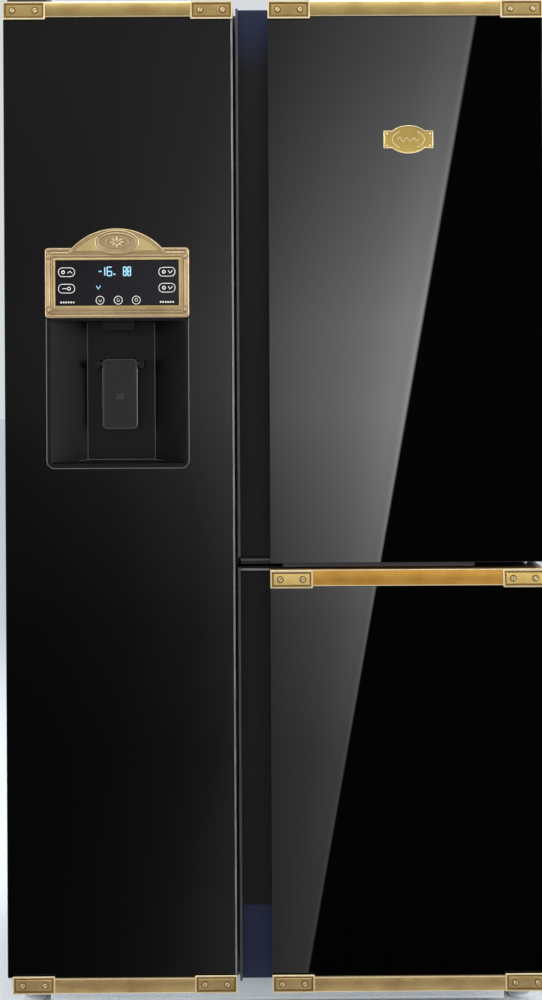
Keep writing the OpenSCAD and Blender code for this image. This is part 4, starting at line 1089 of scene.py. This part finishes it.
floor_paint = finish("pale_matt_studio_floor", ("#e2e6e9", "#e2e6e9"), 60.0, (0.9, 0.92))
floor_data = bpy.data.meshes.new("studio_floor")
floor = bpy.data.objects.new("studio_floor", floor_data)
bpy.context.collection.objects.link(floor)
floor_data.from_pydata([(-30, -30, 0), (30, -30, 0), (30, 30, 0), (-30, 30, 0)], [], [(0, 1, 2, 3)])
floor_data.materials.append(floor_paint)
floor.visible_glossy = False
floor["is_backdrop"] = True

world = bpy.data.worlds.new("studio_room")
bpy.context.scene.world = world
world.use_nodes = True
tree = world.node_tree
background = tree.nodes["Background"]
way = put(tree, "ShaderNodeSeparateXYZ", Vector=put(tree, "ShaderNodeTexCoord").outputs["Generated"]).outputs
ahead = put(tree, "ShaderNodeMath", operation="MAXIMUM", i0=put(
    tree, "ShaderNodeMath", operation="MULTIPLY", i0=way["Y"], i1=-1.0).outputs[0], i1=0.05).outputs[0]
across = put(tree, "ShaderNodeMath", operation="DIVIDE", i0=way["X"], i1=ahead).outputs[0]
up = put(tree, "ShaderNodeMath", operation="DIVIDE", i0=way["Z"], i1=ahead).outputs[0]
lean = put(tree, "ShaderNodeMath", operation="MULTIPLY_ADD", i0=up, i1=0.181, i2=0.0984).outputs[0]
from_edge = put(tree, "ShaderNodeMath", operation="SUBTRACT", i0=across, i1=lean).outputs[0]


def curve(tree, value, low, high, stops):
    """a number read off a curve of (place, value) stops between low and high"""
    ramp = put(tree, "ShaderNodeValToRGB", Fac=put(
        tree, "ShaderNodeMapRange", Value=value, i1=low, i2=high).outputs[0])
    while len(ramp.color_ramp.elements) > 1:
        ramp.color_ramp.elements.remove(ramp.color_ramp.elements[0])
    for i, (place, grey) in enumerate(stops):
        spot = (place - low) / (high - low)
        stop = ramp.color_ramp.elements.new(spot) if i else ramp.color_ramp.elements[0]
        stop.position = spot
        stop.color = (grey, grey, grey, 1)
    return ramp.outputs[0]


narrow = curve(tree, up, -0.45, 0.05, (
    (-0.45, 0.65), (-0.381, 0.67), (-0.26, 0.75), (-0.172, 0.73), (-0.09, 0.64), (-0.023, 0.525), (0.02, 0.5)))
narrow = put(tree, "ShaderNodeMath", operation="MULTIPLY", i0=narrow, i1=2.0).outputs[0]
narrow = put(tree, "ShaderNodeMath", operation="MULTIPLY", i0=from_edge, i1=narrow).outputs[0]
screen = curve(tree, narrow, -0.4, 0.1, (
    (-0.4, 0.015), (-0.307, 0.022), (-0.239, 0.037), (-0.172, 0.074), (-0.133, 0.133), (-0.095, 0.27),
    (-0.055, 0.43), (-0.035, 0.53), (-0.012, 0.72), (-0.004, 0.74), (-0.0025, 1.0), (0.0, 1.0),
    (0.0002, 0.0015), (0.1, 0.0015)))
tall = curve(tree, up, -0.45, 0.3, (
    (-0.45, 0.12), (-0.38, 0.15), (-0.26, 0.22), (-0.172, 0.4), (-0.09, 0.74), (-0.03, 0.98), (0.03, 1.0),
    (0.112, 0.72), (0.207, 0.43), (0.3, 0.3)))
haze = curve(tree, up, -0.2, 0.25, ((-0.2, 0.0), (-0.05, 0.003), (0.08, 0.015), (0.207, 0.038), (0.25, 0.04)))
haze = put(tree, "ShaderNodeMath", operation="MULTIPLY", i0=haze, i1=curve(
    tree, from_edge, -0.1, 0.01, ((-0.1, 1.0), (-0.001, 0.9), (0.001, 0.0)))).outputs[0]
mirrored = put(tree, "ShaderNodeMath", operation="MULTIPLY_ADD", i0=screen, i1=tall, i2=haze).outputs[0]
mirrored = put(tree, "ShaderNodeMath", operation="MULTIPLY", i0=mirrored, i1=6.6).outputs[0]
wide = put(tree, "ShaderNodeMath", operation="ABSOLUTE", i0=across).outputs[0]
high = put(tree, "ShaderNodeMath", operation="ABSOLUTE", i0=put(
    tree, "ShaderNodeMath", operation="ADD", i0=up, i1=-0.03).outputs[0]).outputs[0]
outside = put(tree, "ShaderNodeMath", operation="MAXIMUM", i0=wide, i1=put(
    tree, "ShaderNodeMath", operation="MULTIPLY", i0=high, i1=0.6).outputs[0]).outputs[0]
outside = put(tree, "ShaderNodeMapRange", Value=outside, i1=0.27, i2=0.4).outputs[0]
mirrored = put(tree, "ShaderNodeMix", data_type="RGBA", i0=outside, i6=mirrored,
               i7=linear("#eef0f2")).outputs[2]
glossy = put(tree, "ShaderNodeLightPath").outputs["Is Glossy Ray"]
room = put(tree, "ShaderNodeMix", data_type="RGBA", i0=glossy, i6=linear("#d6dbdf"), i7=mirrored).outputs[2]
tree.links.new(room, background.inputs["Color"])
background.inputs["Strength"].default_value = 1.0


def softbox(name, place, aim, width, height, power):
    """a soft rectangular studio light that the camera does not see"""
    lamp = bpy.data.lights.new(name, "AREA")
    lamp.shape, lamp.size, lamp.size_y, lamp.energy = "RECTANGLE", width, height, power
    lamp.spread = math.radians(110)
    made = bpy.data.objects.new(name, lamp)
    made.location = place
    made.rotation_euler = (Vector(aim) - Vector(place)).to_track_quat("-Z", "Y").to_euler()
    made.visible_camera = False
    bpy.context.collection.objects.link(made)


softbox("overhead_softbox", (0.0, -3.6, 4.6), (0.0, -0.3, 1.0), 4.0, 1.8, 28)
softbox("left_softbox", (-2.9, -2.2, 1.25), (-0.2, -0.3, 0.8), 1.2, 2.2, 18)
softbox("right_softbox", (2.9, -2.2, 1.25), (0.2, -0.3, 0.8), 1.2, 2.2, 29)
softbox("back_softbox", (0.0, 2.2, 3.6), (0.0, 0.3, 1.0), 3.0, 1.5, 40)

camera_data = bpy.data.cameras.new("camera")
camera = bpy.data.objects.new("camera", camera_data)
bpy.context.collection.objects.link(camera)
camera.location = (-0.0084, -2.862, 1.1209)
pan, tilt, roll = (Matrix.Rotation(math.radians(turn), 4, axis)
                   for turn, axis in ((-0.243, "Z"), (90.053, "X"), (-0.301, "Z")))
camera.rotation_euler = (pan @ tilt @ roll).to_euler()
camera_data.lens = 53.24
camera_data.sensor_width = 36
camera_data.shift_x = -0.0049
camera_data.shift_y = -0.1339
bpy.context.scene.camera = camera
bpy.context.scene.view_settings.view_transform = "Standard"

low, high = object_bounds()
